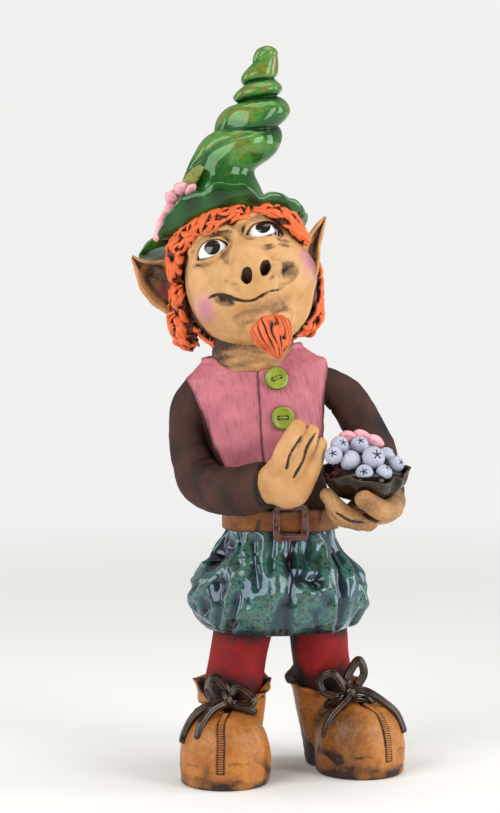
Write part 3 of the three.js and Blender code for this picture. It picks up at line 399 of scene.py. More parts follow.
class Lump:
    """Clay on a fine grid. Rolls and eggs are smoothed on to it or pressed into it, and skin() gives its
    points, faces, outward directions and how deep each point lies in a hollow."""

    def __init__(self, low, high, grain):
        self.low = np.array(low, float)
        self.grain = grain
        self.count = np.ceil((np.array(high) - self.low) / grain).astype(int) + 1
        self.depth = np.full(self.count, 50.0, np.float32)

    def work(self, form, soft=2.0, press=False, keep=False):
        distance, low, high = form
        start = np.floor((np.array(low) - soft - 1 - self.low) / self.grain).astype(int)
        stop = np.ceil((np.array(high) + soft + 1 - self.low) / self.grain).astype(int) + 1
        if keep:
            start, stop = np.zeros(3, int), self.count
        start = np.clip(start, 0, self.count)
        stop = np.clip(stop, 0, self.count)
        if np.any(stop <= start):
            return
        axes = [self.low[k] + self.grain * np.arange(start[k], stop[k]) for k in range(3)]
        there = distance(*np.meshgrid(*axes, indexing="ij", sparse=True))
        part = tuple(slice(a, b) for a, b in zip(start, stop))
        here = self.depth[part]
        if press or keep:
            other = there if keep else -there
            blend = np.maximum(soft - np.abs(here - other), 0) / soft
            self.depth[part] = np.maximum(here, other) + blend * blend * soft / 4
        else:
            blend = np.maximum(soft - np.abs(here - there), 0) / soft
            self.depth[part] = np.minimum(here, there) - blend * blend * soft / 4

    def read(self, field, points):
        spot = np.clip((points - self.low) / self.grain, 0, self.count - 1.001)
        cell = spot.astype(int)
        f = spot - cell
        total = 0
        for corner in range(8):
            step = np.array([corner & 1, corner >> 1 & 1, corner >> 2 & 1])
            share = np.prod(np.where(step, f, 1 - f), axis=1)
            total = total + field[tuple((cell + step).T)] * share
        return total

    def skin(self, reach=2.2):
        depth = self.depth
        inside = depth < 0
        shape = self.count - 1
        corners = [(i, j, k) for i in (0, 1) for j in (0, 1) for k in (0, 1)]

        def part(field, corner):
            return field[tuple(slice(c, c + n) for c, n in zip(corner, shape))]

        filled = sum(part(inside, c).astype(np.int8) for c in corners)
        active = (filled > 0) & (filled < 8)
        cells = np.argwhere(active)
        index = np.full(active.shape, -1)
        index[active] = np.arange(len(cells))
        values = {c: part(depth, c)[active] for c in corners}
        total = np.zeros((len(cells), 3))
        hits = np.zeros(len(cells))
        for a in corners:
            for k in range(3):
                if a[k]:
                    continue
                b = tuple(1 if m == k else a[m] for m in range(3))
                cross = (values[a] < 0) != (values[b] < 0)
                t = np.where(cross, values[a] / np.where(cross, values[a] - values[b], 1), 0)
                spot = np.tile(np.array(a, float), (len(cells), 1))
                spot[:, k] = t
                total += spot * cross[:, None]
                hits += cross
        points = self.low + self.grain * (cells + total / hits[:, None])
        faces = []
        for k in range(3):
            m, n = (k + 1) % 3, (k + 2) % 3
            first = np.take(inside, range(0, self.count[k] - 1), axis=k)
            second = np.take(inside, range(1, self.count[k]), axis=k)
            for crossing, turned in ((first & ~second, False), (~first & second, True)):
                at = np.argwhere(crossing)
                at = at[(at[:, m] > 0) & (at[:, n] > 0) & (at[:, m] < shape[m]) & (at[:, n] < shape[n])]
                ring = []
                for dm, dn in ((-1, -1), (0, -1), (0, 0), (-1, 0)):
                    cell = at.copy()
                    cell[:, m] += dm
                    cell[:, n] += dn
                    ring.append(index[tuple(cell.T)])
                quads = np.stack(ring[::-1] if turned else ring, axis=1)
                faces.append(quads)
        faces = np.vstack(faces)
        slopes = np.gradient(depth, self.grain)
        outward = np.stack([self.read(s, points) for s in slopes], axis=1)
        outward /= np.maximum(np.linalg.norm(outward, axis=1), 1e-6)[:, None]
        ahead = self.read(depth, points + outward * reach)
        return points, faces.tolist(), outward, clamp(1 - ahead / reach, -1, 1)


def egg(middle, radii, turn=(0, 0, 0)):
    """An egg of clay: its distance from any point, and its lowest and highest corners."""
    axes = np.array(Euler([math.radians(a) for a in turn]).to_matrix()).T
    middle, radii = np.array(middle, float), np.array(radii, float)

    def distance(x, y, z):
        offset = (x - middle[0], y - middle[1], z - middle[2])
        spot = [axes[k][0] * offset[0] + axes[k][1] * offset[1] + axes[k][2] * offset[2] for k in range(3)]
        far = np.sqrt(sum((spot[k] / radii[k]) ** 2 for k in range(3)))
        steep = np.sqrt(sum((spot[k] / radii[k] ** 2) ** 2 for k in range(3)))
        return far * (far - 1) / np.maximum(steep, 1e-6)

    reach = radii.max()
    return distance, middle - reach, middle + reach


def strand(line, radii, steps=14):
    """A roll of clay along a smooth line, as egg() gives it."""
    share = np.linspace(0, 1, steps + 1)
    spots = along(line, share)
    widths = along(radii, share)

    def distance(x, y, z):
        best = None
        for a, b, ra, rb in zip(spots[:-1], spots[1:], widths[:-1], widths[1:]):
            step = b - a
            t = ((x - a[0]) * step[0] + (y - a[1]) * step[1] + (z - a[2]) * step[2]) / max(step @ step, 1e-9)
            t = np.clip(t, 0, 1)
            gap = np.sqrt(sum((p - a[k] - t * step[k]) ** 2 for k, p in enumerate((x, y, z))))
            gap = gap - (ra + t * (rb - ra))
            best = gap if best is None else np.minimum(best, gap)
        return best

    reach = widths.max()
    return distance, spots.min(0) - reach, spots.max(0) + reach


def slab(axis, level, sign=1, slope=0.0):
    """Everything on one side of a level: above it where sign is 1. The level may rise towards the back."""
    def distance(x, y, z):
        return sign * (level + slope * y - (x, y, z)[axis])

    far = np.full(3, 200.0)
    return distance, -far, far


def turned(points, matrix, middle):
    """Points turned by a matrix and then moved to a middle."""
    return np.asarray(points) @ np.asarray(matrix).T + np.asarray(middle)


def z_turn(angle):
    """A turn about the upright axis."""
    cos, sin = math.cos(angle), math.sin(angle)
    return np.array([[cos, -sin, 0], [sin, cos, 0], [0, 0, 1]])


def toe_pot():
    """The toe: a dome whose sides stand nearly upright."""
    foot = math.sin(TOE_TUCK)
    rise = TOE_HEIGHT / (1 - foot)
    level = -foot * rise

    def distance(x, y, z):
        across = (x / TOE_HALF_WIDTH) ** 2 + ((y + TOE_REACH) / TOE_HALF_LENGTH) ** 2
        upward = np.abs((z - level) / rise)
        far = (across**1.3 + upward**2.6) ** (1 / 2.6)
        return (far - 1) * 0.92 * TOE_HALF_WIDTH * np.maximum(1, 0.9 * far)

    low = np.array([-TOE_HALF_WIDTH - 3, -TOE_REACH - TOE_HALF_LENGTH - 3, -2])
    return distance, low, np.array([TOE_HALF_WIDTH + 3, 6, TOE_HEIGHT + 3])


tan_shoe = fired_clay("tan_glazed_shoe_clay", "#bd7a35", "#a5622a", stain_and_shade="#2b1a12", mottle=11,
                      roughness=0.42, bump=0.1)
SHOE_CRACKS = [
    # points on the toe in the shoe's frame, and depth
    ([(-21, -38, 13.6), (-17, -42, 12.2), (-12, -45, 12.8), (-8, -47, 12.4)], 0.32),
    ([(7, -47, 13.8), (11, -46, 14.8), (14, -44, 14.0), (18, -41, 14.4)], 0.38),
    ([(-22, -30, 20), (-19, -36, 21.5)], 0.16),
    ([(13, -43, 25), (17, -38, 24)], 0.14),
    ([(-12, -38, 31), (-8, -41, 30)], 0.12),
]
for side, foot in SHOE_FEET.items():
    turn = math.radians(foot["turn"])
    spin = z_turn(turn)
    lean = spin.T @ np.array([*foot["lean"], 0.0])
    clay = Lump((-29, -54, -2), (31, 26, 50), SHOE_GRAIN)
    shaft_line = [(0, 0, 2.0), 0.5 * lean + [0, 0, SHAFT_HEIGHT / 2], lean + [0, 0, SHAFT_HEIGHT + 6]]
    clay.work(strand(shaft_line, [SHAFT_FOOT_RADIUS, SHAFT_FOOT_RADIUS + 1, SHAFT_TOP_RADIUS + 0.8]), 1)
    clay.work(toe_pot(), 3.2)
    clay.work(slab(2, SHAFT_HEIGHT, -1, MOUTH_SLOPE), 1.2, keep=True)
    clay.work(slab(2, 0), 1.6, keep=True)
    into = spin.T @ (np.array(foot["hip"]) - [*foot["ankle"], 0])
    mouth = lean + [0, 0, SHAFT_HEIGHT]
    socket = [mouth, mouth + (into - mouth) * 0.3]
    clay.work(strand(socket, [STOCKING_RADIUS + 0.4] * 2, 1), 0.6, press=True)
    points, faces, outward, hollow = clay.skin()
    height = points[:, 2]
    strip = np.abs(points[:, 0] - foot["strip"] * (1 - 0.6 * ease(height, 24, 36)))
    on_toe = (points[:, 1] < -12) & (height > 9) & (outward[:, 1] < 0.35)
    groove = 0.5 * bell(strip - STRIP_HALF_WIDTH, 0.5) * on_toe
    sunk = 0.22 * (strip < STRIP_HALF_WIDTH) * on_toe
    cracks = np.zeros(len(points))
    for line, depth in SHOE_CRACKS:
        gap = strand(line, [0.0] * len(line), 6)[0](*points.T)
        cracks += depth * bell(gap, 0.6) * clamp(1 + 0.8 * lumpiness(points, 2.5, 11))
    hand = 0.35 * lumpiness(points, 9, 7) + 0.12 * lumpiness(points, 3, 8)
    pressed = ease(height, 1, 5) * hand - groove - sunk - cracks
    points = points + outward * pressed[:, None]
    points[:, 2] = np.maximum(points[:, 2], 0)
    seam_luting = bell(height - 4, 3.5)
    wash = 1.5 * clamp(hollow) + 1.5 * groove + 3.2 * sunk + 1.5 * cracks
    wash += 0.7 * seam_luting * clamp(0.3 + 0.9 * lumpiness(points, 12, 9))
    blotch = bell(height - 9, 5.5) * ease(strip, 4, 8)
    wash += 0.75 * blotch * ease(lumpiness(points, 10, 10), 0.1, 0.7)
    # Painted shade on the shoe's inner side, which faces the other leg.
    wash += foot["shade"] * ease(-points[:, 0], 6, 20)
    dirt = (1 - ease(height, 0.5, 5.5)) * clamp(0.6 + 0.6 * lumpiness(points, 8, 12))
    wash += 0.8 * dirt + 0.5 * ease(points[:, 1], -6, 6) * (1 - ease(height, 10, 40))
    points = turned(points, spin, [*foot["ankle"], 0])
    piece(f"{side}_shoe_pot", (points, faces), tan_shoe, "shoe", f"{side}_shoe", wash=clamp(wash))
    foot["spin"], foot["mouth"], foot["clay"] = spin, mouth, clay

# Shoe cuffs
# The torn upper edge of each shaft, pinched thin and bent outwards in flaps before it dried. It is the
# shoe's own clay under the same tan glaze, and it stands on the shaft's sloping mouth.
CUFF_WALL = 3.0
CUFF_SEEDS = {"right": 24, "left": 23}
CUFF_FLAPS = {
    # direction in degrees, half width in degrees, height, how far it bends outwards
    "right": [(204, 22, 7.6, 1.8), (165, 18, 2.0, 1.4), (8, 24, 3.6, 1.8), (60, 24, 3.0, 1.0),
              (112, 28, 3.0, 2.2), (-26, 18, 2.2, 3.4)],
    "left": [(146, 24, -1.4, 2.2), (178, 20, 0.4, 2.4), (214, 24, 1.8, 3.0), (-38, 24, 3.8, 2.6),
             (20, 22, 2.6, 1.6), (84, 30, 1.6, 1.8), (250, 22, 1.8, 3.2)],
}
for side, foot in SHOE_FEET.items():
    angle = around(260)
    degrees = np.degrees(angle)
    rise = np.full(len(angle), 1.6)
    bend = np.full(len(angle), 0.8)
    for direction, width, height, outward in CUFF_FLAPS[side]:
        near = (degrees - direction + 180) % 360 - 180
        near = bell(np.abs(near), width, 3)
        rise += height * near
        bend += outward * near
    circle = np.stack([np.cos(angle), np.sin(angle), 0 * angle], axis=1)
    rise += 0.55 * lumpiness(circle * SHAFT_TOP_RADIUS, 4.2, CUFF_SEEDS[side])
    share = np.array([-0.35, 0, 0.2, 0.4, 0.6, 0.8, 0.93, 1.0, 1.0, 0.93, 0.8, 0.6, 0.4, 0.2, 0, -0.35])
    wall = np.array([0] * 8 + [1] * 8)
    rounded = np.array([1, 1, 1, 1, 0.95, 0.88, 0.74, 0.4])
    thick = np.concatenate([0 * rounded, CUFF_WALL * rounded[::-1]])
    radius = SHAFT_TOP_RADIUS + 0.3 + bend[:, None] * np.maximum(share, 0) ** 1.4 - thick
    z = SHAFT_HEIGHT + MOUTH_SLOPE * radius * np.sin(angle)[:, None] + share * rise[:, None]
    points, faces = loft(round_wall(radius, radius, z, angle[:, None], foot["mouth"]), looped=True)
    points = uneven(points, 0.25, 4, 31)
    wash = 0.35 + 0.5 * lumpiness(points, 5, 34) + 0.45 * np.tile(wall, len(angle))
    points = turned(points, foot["spin"], [*foot["ankle"], 0])
    piece(f"{side}_torn_cuff", (points, faces), tan_shoe, "shoe", f"{side}_shoe_cuff", wash=clamp(wash))

# Shoelaces
# Strips of clay pressed through a ribbed die, tied in a bow on each toe and glazed a glossy dark brown.
# Each strip follows its line through one geometry nodes tree, which also rolls the strands of hair.
LACE_RADIUS = 2.35
LACES = {
    # the knot's middle, the lines of the strips
    "right": ((-23.5, -20.5, 44.5), [
        [(-24, -19, 44), (-30.5, -20, 45), (-34, -19, 50), (-30.5, -17, 55.5), (-23, -19, 48)],
        [(-23, -19.5, 46), (-18, -18, 50.5), (-10, -20, 44), (-14.5, -22.5, 40.5), (-21, -22, 43)],
        [(-24.5, -21, 44), (-32, -23.5, 42.3), (-41, -25, 36.5), (-46, -26, 28), (-47.6, -27, 22)],
        [(-25, -23, 43), (-32, -28, 40), (-37.5, -33.5, 33.5), (-39.5, -36, 26)],
        [(-41, -12, 35), (-34, -18, 40), (-24, -21, 42), (-15, -19.5, 40), (-9, -15, 36)],
    ]),
    "left": ((43, -1, 44.5), [
        [(41.5, 0, 43.5), (33, -1, 54.5), (26.2, 1, 50), (28.5, 0, 44), (36, -1.5, 42)],
        [(42, 0, 44.5), (41, 1, 52), (47, 3, 61), (50, 3, 54), (46.5, 1.5, 47)],
        [(42.5, -2, 43.5), (38.5, -4.5, 38.5), (33, -6, 32.5), (29.5, -6.5, 26), (28.2, -7, 20.5)],
        [(45, 0, 45.5), (52, 0, 44), (60.5, 0, 38.5), (67.5, 0, 32), (71.6, -1, 22)],
        [(29, 6, 35), (34, 1.5, 39), (41, -1, 41), (51, 3, 39), (58, 10, 34)],
    ]),
}


def glaze(name, main, light, pool_and_shade, speckle, patch=9.0, fleck=0.9, fleck_share=0.45, roughness=0.1,
          ripple=0.25, sheen="#ffffff", coat=0.4, amber=None, amber_share=0.8):
    """Glossy glaze: it pools dark in the hollows, breaks light on the ridges and is flecked all over. Its
    points carry a mark, above 0 in the hollows and where painted shade is laid, and below 0 on the ridges and
    where a highlight is painted."""
    material, tree, place = new_material(name)
    wide = noise(tree, place, patch, 3.0, Distortion=0.6)
    fine = noise(tree, place, fleck * 2, 3.0, Roughness=0.6)
    wave = noise(tree, place, patch * 0.7, 1.0)
    wash = mark(tree, "wash")
    ridge = maths(tree, "MULTIPLY_ADD", wash, -0.55, wide)
    base = blend(tree, remap(tree, ridge, 0.42, 0.66), main, light)
    if amber:
        run = noise(tree, place, patch * 0.5, 4.0, Distortion=1.4)
        streak = maths(tree, "MULTIPLY_ADD", wash, -0.25, run)
        base = blend(tree, remap(tree, streak, 0.52, 0.7, amber_share), base, amber)
    dotted = blend(tree, remap(tree, fine, 0.5, 0.64, fleck_share), base, speckle)
    sunk = maths(tree, "MULTIPLY_ADD", fine, 0.4, wash)
    pooled_and_shaded = blend(tree, remap(tree, sunk, 0.35, 1.05), dotted, pool_and_shade)
    relief = add(tree, "ShaderNodeBump", {"Strength": ripple, "Distance": 1.2 * MM, "Height": wave})
    pits = add(tree, "ShaderNodeBump", {"Strength": 0.08, "Distance": 0.3 * MM, "Height": fine,
                                        "Normal": relief})
    end_material(tree, {"Base Color": pooled_and_shaded, "Roughness": roughness, "Specular IOR Level": 0.5,
                        "Specular Tint": linear(sheen), "Coat Weight": coat, "Coat Roughness": 0.04,
                        "Coat Tint": linear(sheen), "Normal": pits})
    return material


def shape_tree(name, inputs):
    """An empty geometry nodes tree with named inputs and one shape as its output, and its input node."""
    tree = bpy.data.node_groups.new(name, "GeometryNodeTree")
    for label, kind in inputs.items():
        tree.interface.new_socket(label, in_out="INPUT", socket_type="NodeSocket" + kind)
    tree.interface.new_socket("Shape", in_out="OUTPUT", socket_type="NodeSocketGeometry")
    return tree, add(tree, "NodeGroupInput")


def named(tree, name, kind="FLOAT"):
    """What a shape's points carry under a name, inside a geometry nodes tree."""
    return add(tree, "GeometryNodeInputNamedAttribute", {"Name": name}, data_type=kind), "Attribute"


def store(tree, shape, name, value):
    """Lets a shape's points carry a value under a name."""
    inputs = {"Geometry": shape, "Name": name, "Value": value}
    return add(tree, "GeometryNodeStoreNamedAttribute", inputs, data_type="FLOAT", domain="POINT")


def unit_ring(tree, given):
    """A circle of radius 1 with the given sides, where its points lie, and the direction of each."""
    ring = add(tree, "GeometryNodeCurvePrimitiveCircle", {"Resolution": (given, "Sides"), "Radius": 1.0})
    spot = add(tree, "ShaderNodeSeparateXYZ", {"Vector": add(tree, "GeometryNodeInputPosition")})
    return ring, spot, maths(tree, "ARCTAN2", (spot, "Y"), (spot, "X"))


def end_tree(tree, given, shape):
    """Ends a tree: its copies become real and take the clay that it is given."""
    shape = add(tree, "GeometryNodeRealizeInstances", {"Geometry": shape})
    shape = add(tree, "GeometryNodeSetMaterial", {"Geometry": shape, "Material": (given, "Clay")})
    add(tree, "NodeGroupOutput", {"Shape": shape})


def grown(tree, mesh, values):
    """Runs a tree over a mesh and returns the mesh that it makes."""
    source = bpy.data.objects.new(mesh.name, mesh)
    scene.collection.objects.link(source)
    steps = source.modifiers.new(tree.name, "NODES")
    steps.node_group = tree
    for key, value in values.items():
        socket = next(s for s in tree.interface.items_tree if s.name == key and s.in_out == "INPUT")
        steps[socket.identifier] = value
    result = bpy.data.meshes.new_from_object(source.evaluated_get(bpy.context.evaluated_depsgraph_get()))
    source.modifiers.remove(steps)
    bpy.data.objects.remove(source)
    return result


# Each line's points carry a radius mark. The grooves between the ribs are marked for stain.
roller, given = shape_tree("rolled_through_a_die", {
    "Lines": "Geometry", "Ribs": "Float", "Groove": "Float", "Sides": "Int", "Flatness": "Float",
    "Clay": "Material"})
line = add(roller, "GeometryNodeMeshToCurve", {"Mesh": (given, "Lines")})
ring, spot, way = unit_ring(roller, given)
half = maths(roller, "MULTIPLY", (given, "Ribs"), 0.5)
swing = maths(roller, "ABSOLUTE", maths(roller, "COSINE", maths(roller, "MULTIPLY", way, half)))
dip = maths(roller, "POWER", maths(roller, "SUBTRACT", 1.0, swing), 1.6)
less = maths(roller, "MULTIPLY", dip, (given, "Groove"))
width = maths(roller, "SUBTRACT", 1.0, less)
depth = maths(roller, "MULTIPLY", width, (given, "Flatness"))
shaped = add(roller, "ShaderNodeCombineXYZ", {"X": maths(roller, "MULTIPLY", (spot, "X"), width),
                                              "Y": maths(roller, "MULTIPLY", (spot, "Y"), depth)})
profile = store(roller, ring, "wash", maths(roller, "MULTIPLY", less, 3.0))
profile = add(roller, "GeometryNodeSetPosition", {"Geometry": profile, "Position": shaped})
body = add(roller, "GeometryNodeCurveToMesh", {"Curve": line, "Profile Curve": profile,
                                               "Scale": named(roller, "radius_mark"), "Fill Caps": True})
end_tree(roller, given, body)


def rolled(name, lines, radii, clay, ribs, groove, sides, flatness=1.0):
    """Runs the die's tree over many lines at once and returns the mesh it makes."""
    starts = np.cumsum([0] + [len(l) for l in lines])
    edges = [(i, i + 1) for a, b in zip(starts[:-1], starts[1:]) for i in range(a, b - 1)]
    mesh = raw_mesh(name, np.vstack(lines), edges)
    set_marks(mesh, {"radius_mark": np.concatenate(radii) * MM})
    return grown(roller, mesh, {"Ribs": float(ribs), "Groove": groove, "Sides": sides, "Flatness": flatness,
                                "Clay": clay})


def smooth_line(line, step=1.0):
    """A line's points, smoothed and about one step apart."""
    line = np.asarray(line, float)
    length = np.linalg.norm(np.diff(line, axis=0), axis=1).sum()
    return along(line, np.linspace(0, 1, max(int(length / step), 4) + 1))


lace_glaze = glaze("dark_brown_lace_glaze", "#27160c", "#5e3f22", "#0c0806", "#33200f", patch=5, fleck=0.7,
                   fleck_share=0.3, roughness=0.1, ripple=0.1, sheen="#d2c8bd", coat=0.8)
for side, (knot, strips) in LACES.items():
    lines, radii = [], []
    for strip in strips:
        line = smooth_line(strip, 0.8)
        ends = np.minimum(np.arange(len(line)), np.arange(len(line))[::-1])
        lines.append(line)
        radii.append(LACE_RADIUS * np.minimum(1, 0.72 + 0.2 * ends))
    knot = np.array(knot, float)
    lines.append(smooth_line([knot + [-1.6, 0.5, 3.2], knot + [0, -2.2, 0], knot + [1.4, 0.2, -3.4]], 0.8))
    radii.append(np.full(len(lines[-1]), 2.5))
    mesh = rolled(f"{side}_lace_strips", lines, radii, lace_glaze, 6, 0.2, 48)
    piece(f"{side}_lace_bow", mesh, lace_glaze, "lace", f"{side}_shoe_lace")

# The toothed wheel leaves a ladder of low bars across the strip that it pressed down each toe.
for side, foot in SHOE_FEET.items():
    seam = []
    for slope in np.radians(np.arange(6, 84, 1.0)):
        ray = np.array([foot["strip"], -TOE_REACH, 8.0]) + \
            np.arange(8, 40, 0.2)[:, None] * [0, -math.cos(slope), math.sin(slope)]
        outside = foot["clay"].read(foot["clay"].depth, ray) > 0
        seam.append(ray[outside.argmax()])
    seam = np.array(seam)
    length = np.concatenate([[0], np.cumsum(np.linalg.norm(np.diff(seam, axis=0), axis=1))])
    bars = []
    for reach in np.arange(0, length[-1], WHEEL_PITCH):
        spot = np.array([np.interp(reach, length, seam[:, k]) for k in range(3)])
        offset = foot["strip"] * (1 - 0.6 * ease(spot[2], 24, 36)) - foot["strip"]
        ends = [spot + [offset + s * (STRIP_HALF_WIDTH - 0.5), 0.1, -0.1] for s in (-1, 0, 1)]
        bars.append(turned(ends, foot["spin"], [*foot["ankle"], 0]))
    mesh = rolled(f"{side}_wheel_bars", bars, [np.full(3, 0.36)] * len(bars), tan_shoe, 2, 0.0, 10)
    piece(f"{side}_wheel_bars", mesh, tan_shoe, "shoe", f"{side}_shoe")

# Breeches
# A pinched, bulging bowl of clay, gathered into folds under the belt and pressed with the fingertips.
# The glossy green glaze pools blue-black in the folds and breaks brown on their edges.
HIPS = np.array([4.5, 4.0])
BREECHES_DEPTH_SHARE = 0.8
BREECHES_PROFILE = [
    # height, middle, half width
    (82.5, 3.0, 16), (80, 3.0, 31), (79.5, 3.0, 37.5), (83.5, 3.0, 43.4), (90, 3.4, 46.8), (98, 4.2, 47.8),
    (106, 4.4, 46.2), (114, 4.0, 41.4), (121, 3.6, 35.0), (127, 4.0, 31.8), (132.5, 4.5, 30.4),
    (138.5, 4.5, 29),
]
FRONT_FOLDS = [
    # points across and up the front, depth and half width
    ([(10.8, 130), (10.2, 104), (7.4, 80)], 2.6, 2.3),
    ([(-9.9, 128), (-7.6, 106)], 1.5, 1.7),
    ([(-19.3, 102), (-20.6, 80)], 1.9, 1.6),
    ([(5.1, 98), (1.4, 86), (0.4, 80)], 1.5, 2.0),
    ([(-17.5, 134), (-15.8, 118)], 1.3, 1.5),
    ([(1.0, 134), (0.6, 116)], 1.2, 1.5),
    ([(19.0, 134), (18.0, 119), (15.0, 110)], 1.5, 1.7),
    ([(22.4, 134), (28.9, 122.8), (30.5, 106)], -1.3, 2.2),
    ([(33.0, 114), (33.4, 88)], -1.2, 2.0),
    ([(-14.0, 123), (-20.7, 108)], -1.3, 2.4),
    ([(-24.0, 124), (-28.0, 120.5), (-32.0, 117)], 3.0, 2.6),
    ([(-24.5, 134), (-31.0, 119)], 1.5, 2.0),
    ([(-14.6, 108), (-12.6, 98)], 0.8, 2.0),
    ([(-27.5, 96), (-26.8, 82)], 1.2, 1.6),
    ([(24.0, 92), (25.4, 81)], 1.1, 1.6),
    ([(38.0, 95), (36.5, 83)], 1.4, 1.8),
]
FRONT_DIMPLES = [
    # place across and up the front, half width, half height, depth below 0 for a raised part
    (-31.5, 116.0, 5.2, 4.0, 2.6), (-29.2, 105.0, 3.6, 7.0, 3.8), (-35.8, 92.5, 4.6, 5.0, 3.6),
    (21.4, 109.2, 5.8, 3.4, 3.9), (20.6, 103.0, 6.2, 3.2, -2.0), (37.6, 103.9, 2.8, 10, 3.2),
    (34.3, 121, 2.2, 6.0, 1.9), (-17.5, 85.8, 4.2, 2.2, 2.0), (-21.5, 112, 3.2, 9.0, -1.7),
    (-37.0, 107, 3.6, 7.0, -1.6), (28.0, 115, 2.6, 9.0, -1.5), (43.0, 110, 3.0, 6.0, -1.0),
    (-10.0, 93.0, 8.0, 8.0, -1.3), (15.0, 95.0, 6.0, 8.0, -0.9), (3.5, 110.0, 4.0, 10.0, -0.8),
]


def press_folds(arc, height, folds, dimples, width_at):
    """How far the clay is pressed in at each place round a wall, from its folds and fingertip dimples."""
    pressed = np.zeros(arc.shape)
    for line, depth, width in folds:
        depth, width = 1.1 * depth, 1.25 * width
        line = np.array([(width_at(x, z), z) for x, z in line])
        spots = spread(line, 12)
        best = np.full(arc.shape, 1e6)
        for a, b in zip(spots[:-1], spots[1:]):
            step = b - a
            t = clamp(((arc - a[0]) * step[0] + (height - a[1]) * step[1]) / (step @ step))
            best = np.minimum(best, np.hypot(arc - a[0] - t * step[0], height - a[1] - t * step[1]))
        pressed += depth * bell(best, width)
        pressed -= 0.35 * depth * bell(best - 2.6 * width, width)
    for x, z, across, upward, depth in dimples:
        far = ((arc - width_at(x, z)) / across) ** 2 + ((height - z) / upward) ** 2
        pressed += depth * np.exp(-far)
    return pressed


profile = np.array(BREECHES_PROFILE, float)
levels = spread(profile, 170)
angle = around(340)
height, middle, half = (levels[:, k][:, None] for k in range(3))
arc = half * ((angle + math.pi / 2 + math.pi) % (2 * math.pi) - math.pi)[None, :]


def front_arc(x, z):
    """How far round the breeches a place on their front lies from the middle of the front."""
    order = profile[3:]
    width = np.interp(z, order[:, 0], order[:, 2])
    return width * math.asin(max(-1.0, min(1.0, (x - HIPS[0]) / width)))


chance = np.random.default_rng(12)
back_folds, back_dimples = [], []
for place in np.arange(66, 300, 13.0):
    way = place + chance.uniform(-2, 2)
    foot = chance.uniform(98, 118)
    back_folds.append(([(way, 136), (way + chance.uniform(-4, 4), foot)], chance.uniform(1.2, 2.4), 2.0))
    if chance.uniform() < 0.7:
        back_folds.append(([(way + 3, chance.uniform(88, 97)), (way + 4, 80)], chance.uniform(0.9, 1.8), 1.8))
    back_dimples.append((way + 6, chance.uniform(92, 116), chance.uniform(3.0, 5.0), chance.uniform(5, 10),
                         chance.uniform(-1.8, 3.2)))


def back_arc(way, z):
    """How far round the breeches from the middle of the front, for a direction in degrees."""
    return math.radians(way) * np.interp(z, profile[3:, 0], profile[3:, 2])


pressed = press_folds(arc, height, FRONT_FOLDS, FRONT_DIMPLES, front_arc)
pressed = pressed + press_folds(arc % (2 * math.pi * half), height, back_folds, back_dimples, back_arc)
fade = ease(height, 78, 83) * np.ones_like(arc)
pressed = pressed * (0.35 + 0.65 * fade)
radial = half - pressed
points, faces = loft(round_wall(radial, BREECHES_DEPTH_SHARE * radial, height, angle, (middle, HIPS[1])))
points = uneven(points, 0.45, 9, 41)
hollow = np.concatenate([(pressed / 2.4).ravel(), [0.4, 0.4]])
# Painted shade on the gathered hem under the bulge and on the bottom cap.
under = np.concatenate([(0.9 * (1 - fade)).ravel(), [0.9, 0]])
green_breeches = glaze("green_breeches_glaze", "#1d463a", "#4a7d62", "#0b0e12", "#0d2024", patch=11,
                       fleck=0.9, fleck_share=0.85, roughness=0.16, ripple=0.5, sheen="#cfe0ff", coat=0.8,
                       amber="#5a4f2c", amber_share=0.5)
piece("gathered_breeches", (points, faces), green_breeches, "breeches", "breeches",
      wash=np.clip(hollow + under, -1, 1.2))

# Belt
# A flat strap of clay laid round the waist, a little higher in front. It is tan underglaze with dark stain
# along its edges and in its fine cracks.
BELT_HALF_WIDTH = 31.5
BELT_HALF_DEPTH = 25.5
BELT_HEIGHT = 12.0
BELT_THICKNESS = 2.6
BELT_FOOT = 133.3
BELT_RISE = 0.6
BELT_EDGE_RADIUS = 0.9


def rounded_box(half_width, half_height, radius, steps, gap, first):
    """Points round a box with rounded corners, about a gap apart, from the first corner on."""
    corners = [(-1, -1, 1), (1, -1, 1.5), (1, 1, 0), (-1, 1, 0.5)]
    path = []
    for x, z, start in corners[first:] + corners[:first]:
        for turn in np.linspace(0, math.pi / 2, steps):
            path.append((x * (half_width - radius) + radius * math.cos(start * math.pi + turn),
                         z * (half_height - radius) + radius * math.sin(start * math.pi + turn)))
    path = np.array(path)
    dense = []
    for a, b in zip(path, np.roll(path, -1, axis=0)):
        count = max(1, int(np.linalg.norm(b - a) / gap))
        dense += [a + (b - a) * k / count for k in range(count)]
    return np.array(dense)


angle = around(260)
section = rounded_box(BELT_THICKNESS / 2, BELT_HEIGHT / 2, BELT_EDGE_RADIUS, 5, 0.7, 0)
outward = section[None, :, 0] - BELT_THICKNESS / 2
z = BELT_FOOT - BELT_RISE * np.sin(angle)[:, None] + BELT_HEIGHT / 2 + section[None, :, 1]
rings = round_wall(BELT_HALF_WIDTH + outward, BELT_HALF_DEPTH + outward, z, angle[:, None], HIPS)
points, faces = loft(rings, looped=True)
points = uneven(points, 0.32, 7, 51)
rim = np.tile(ease(np.abs(section[:, 1]), BELT_HEIGHT / 2 - 2.2, BELT_HEIGHT / 2), len(angle))
creases = ease(lumpiness(points * [1, 1, 0.35], 4, 54), 0.75, 1.1)
wash = 0.75 * rim * (0.7 + 0.5 * lumpiness(points, 9, 55)) + 0.6 * creases + 0.2
tan_belt = fired_clay("tan_belt_clay", "#9c5a22", "#78421c", mottle=9, roughness=0.5)
piece("belt_strap", (points, faces), tan_belt, "belt", "belt", wash=clamp(wash))

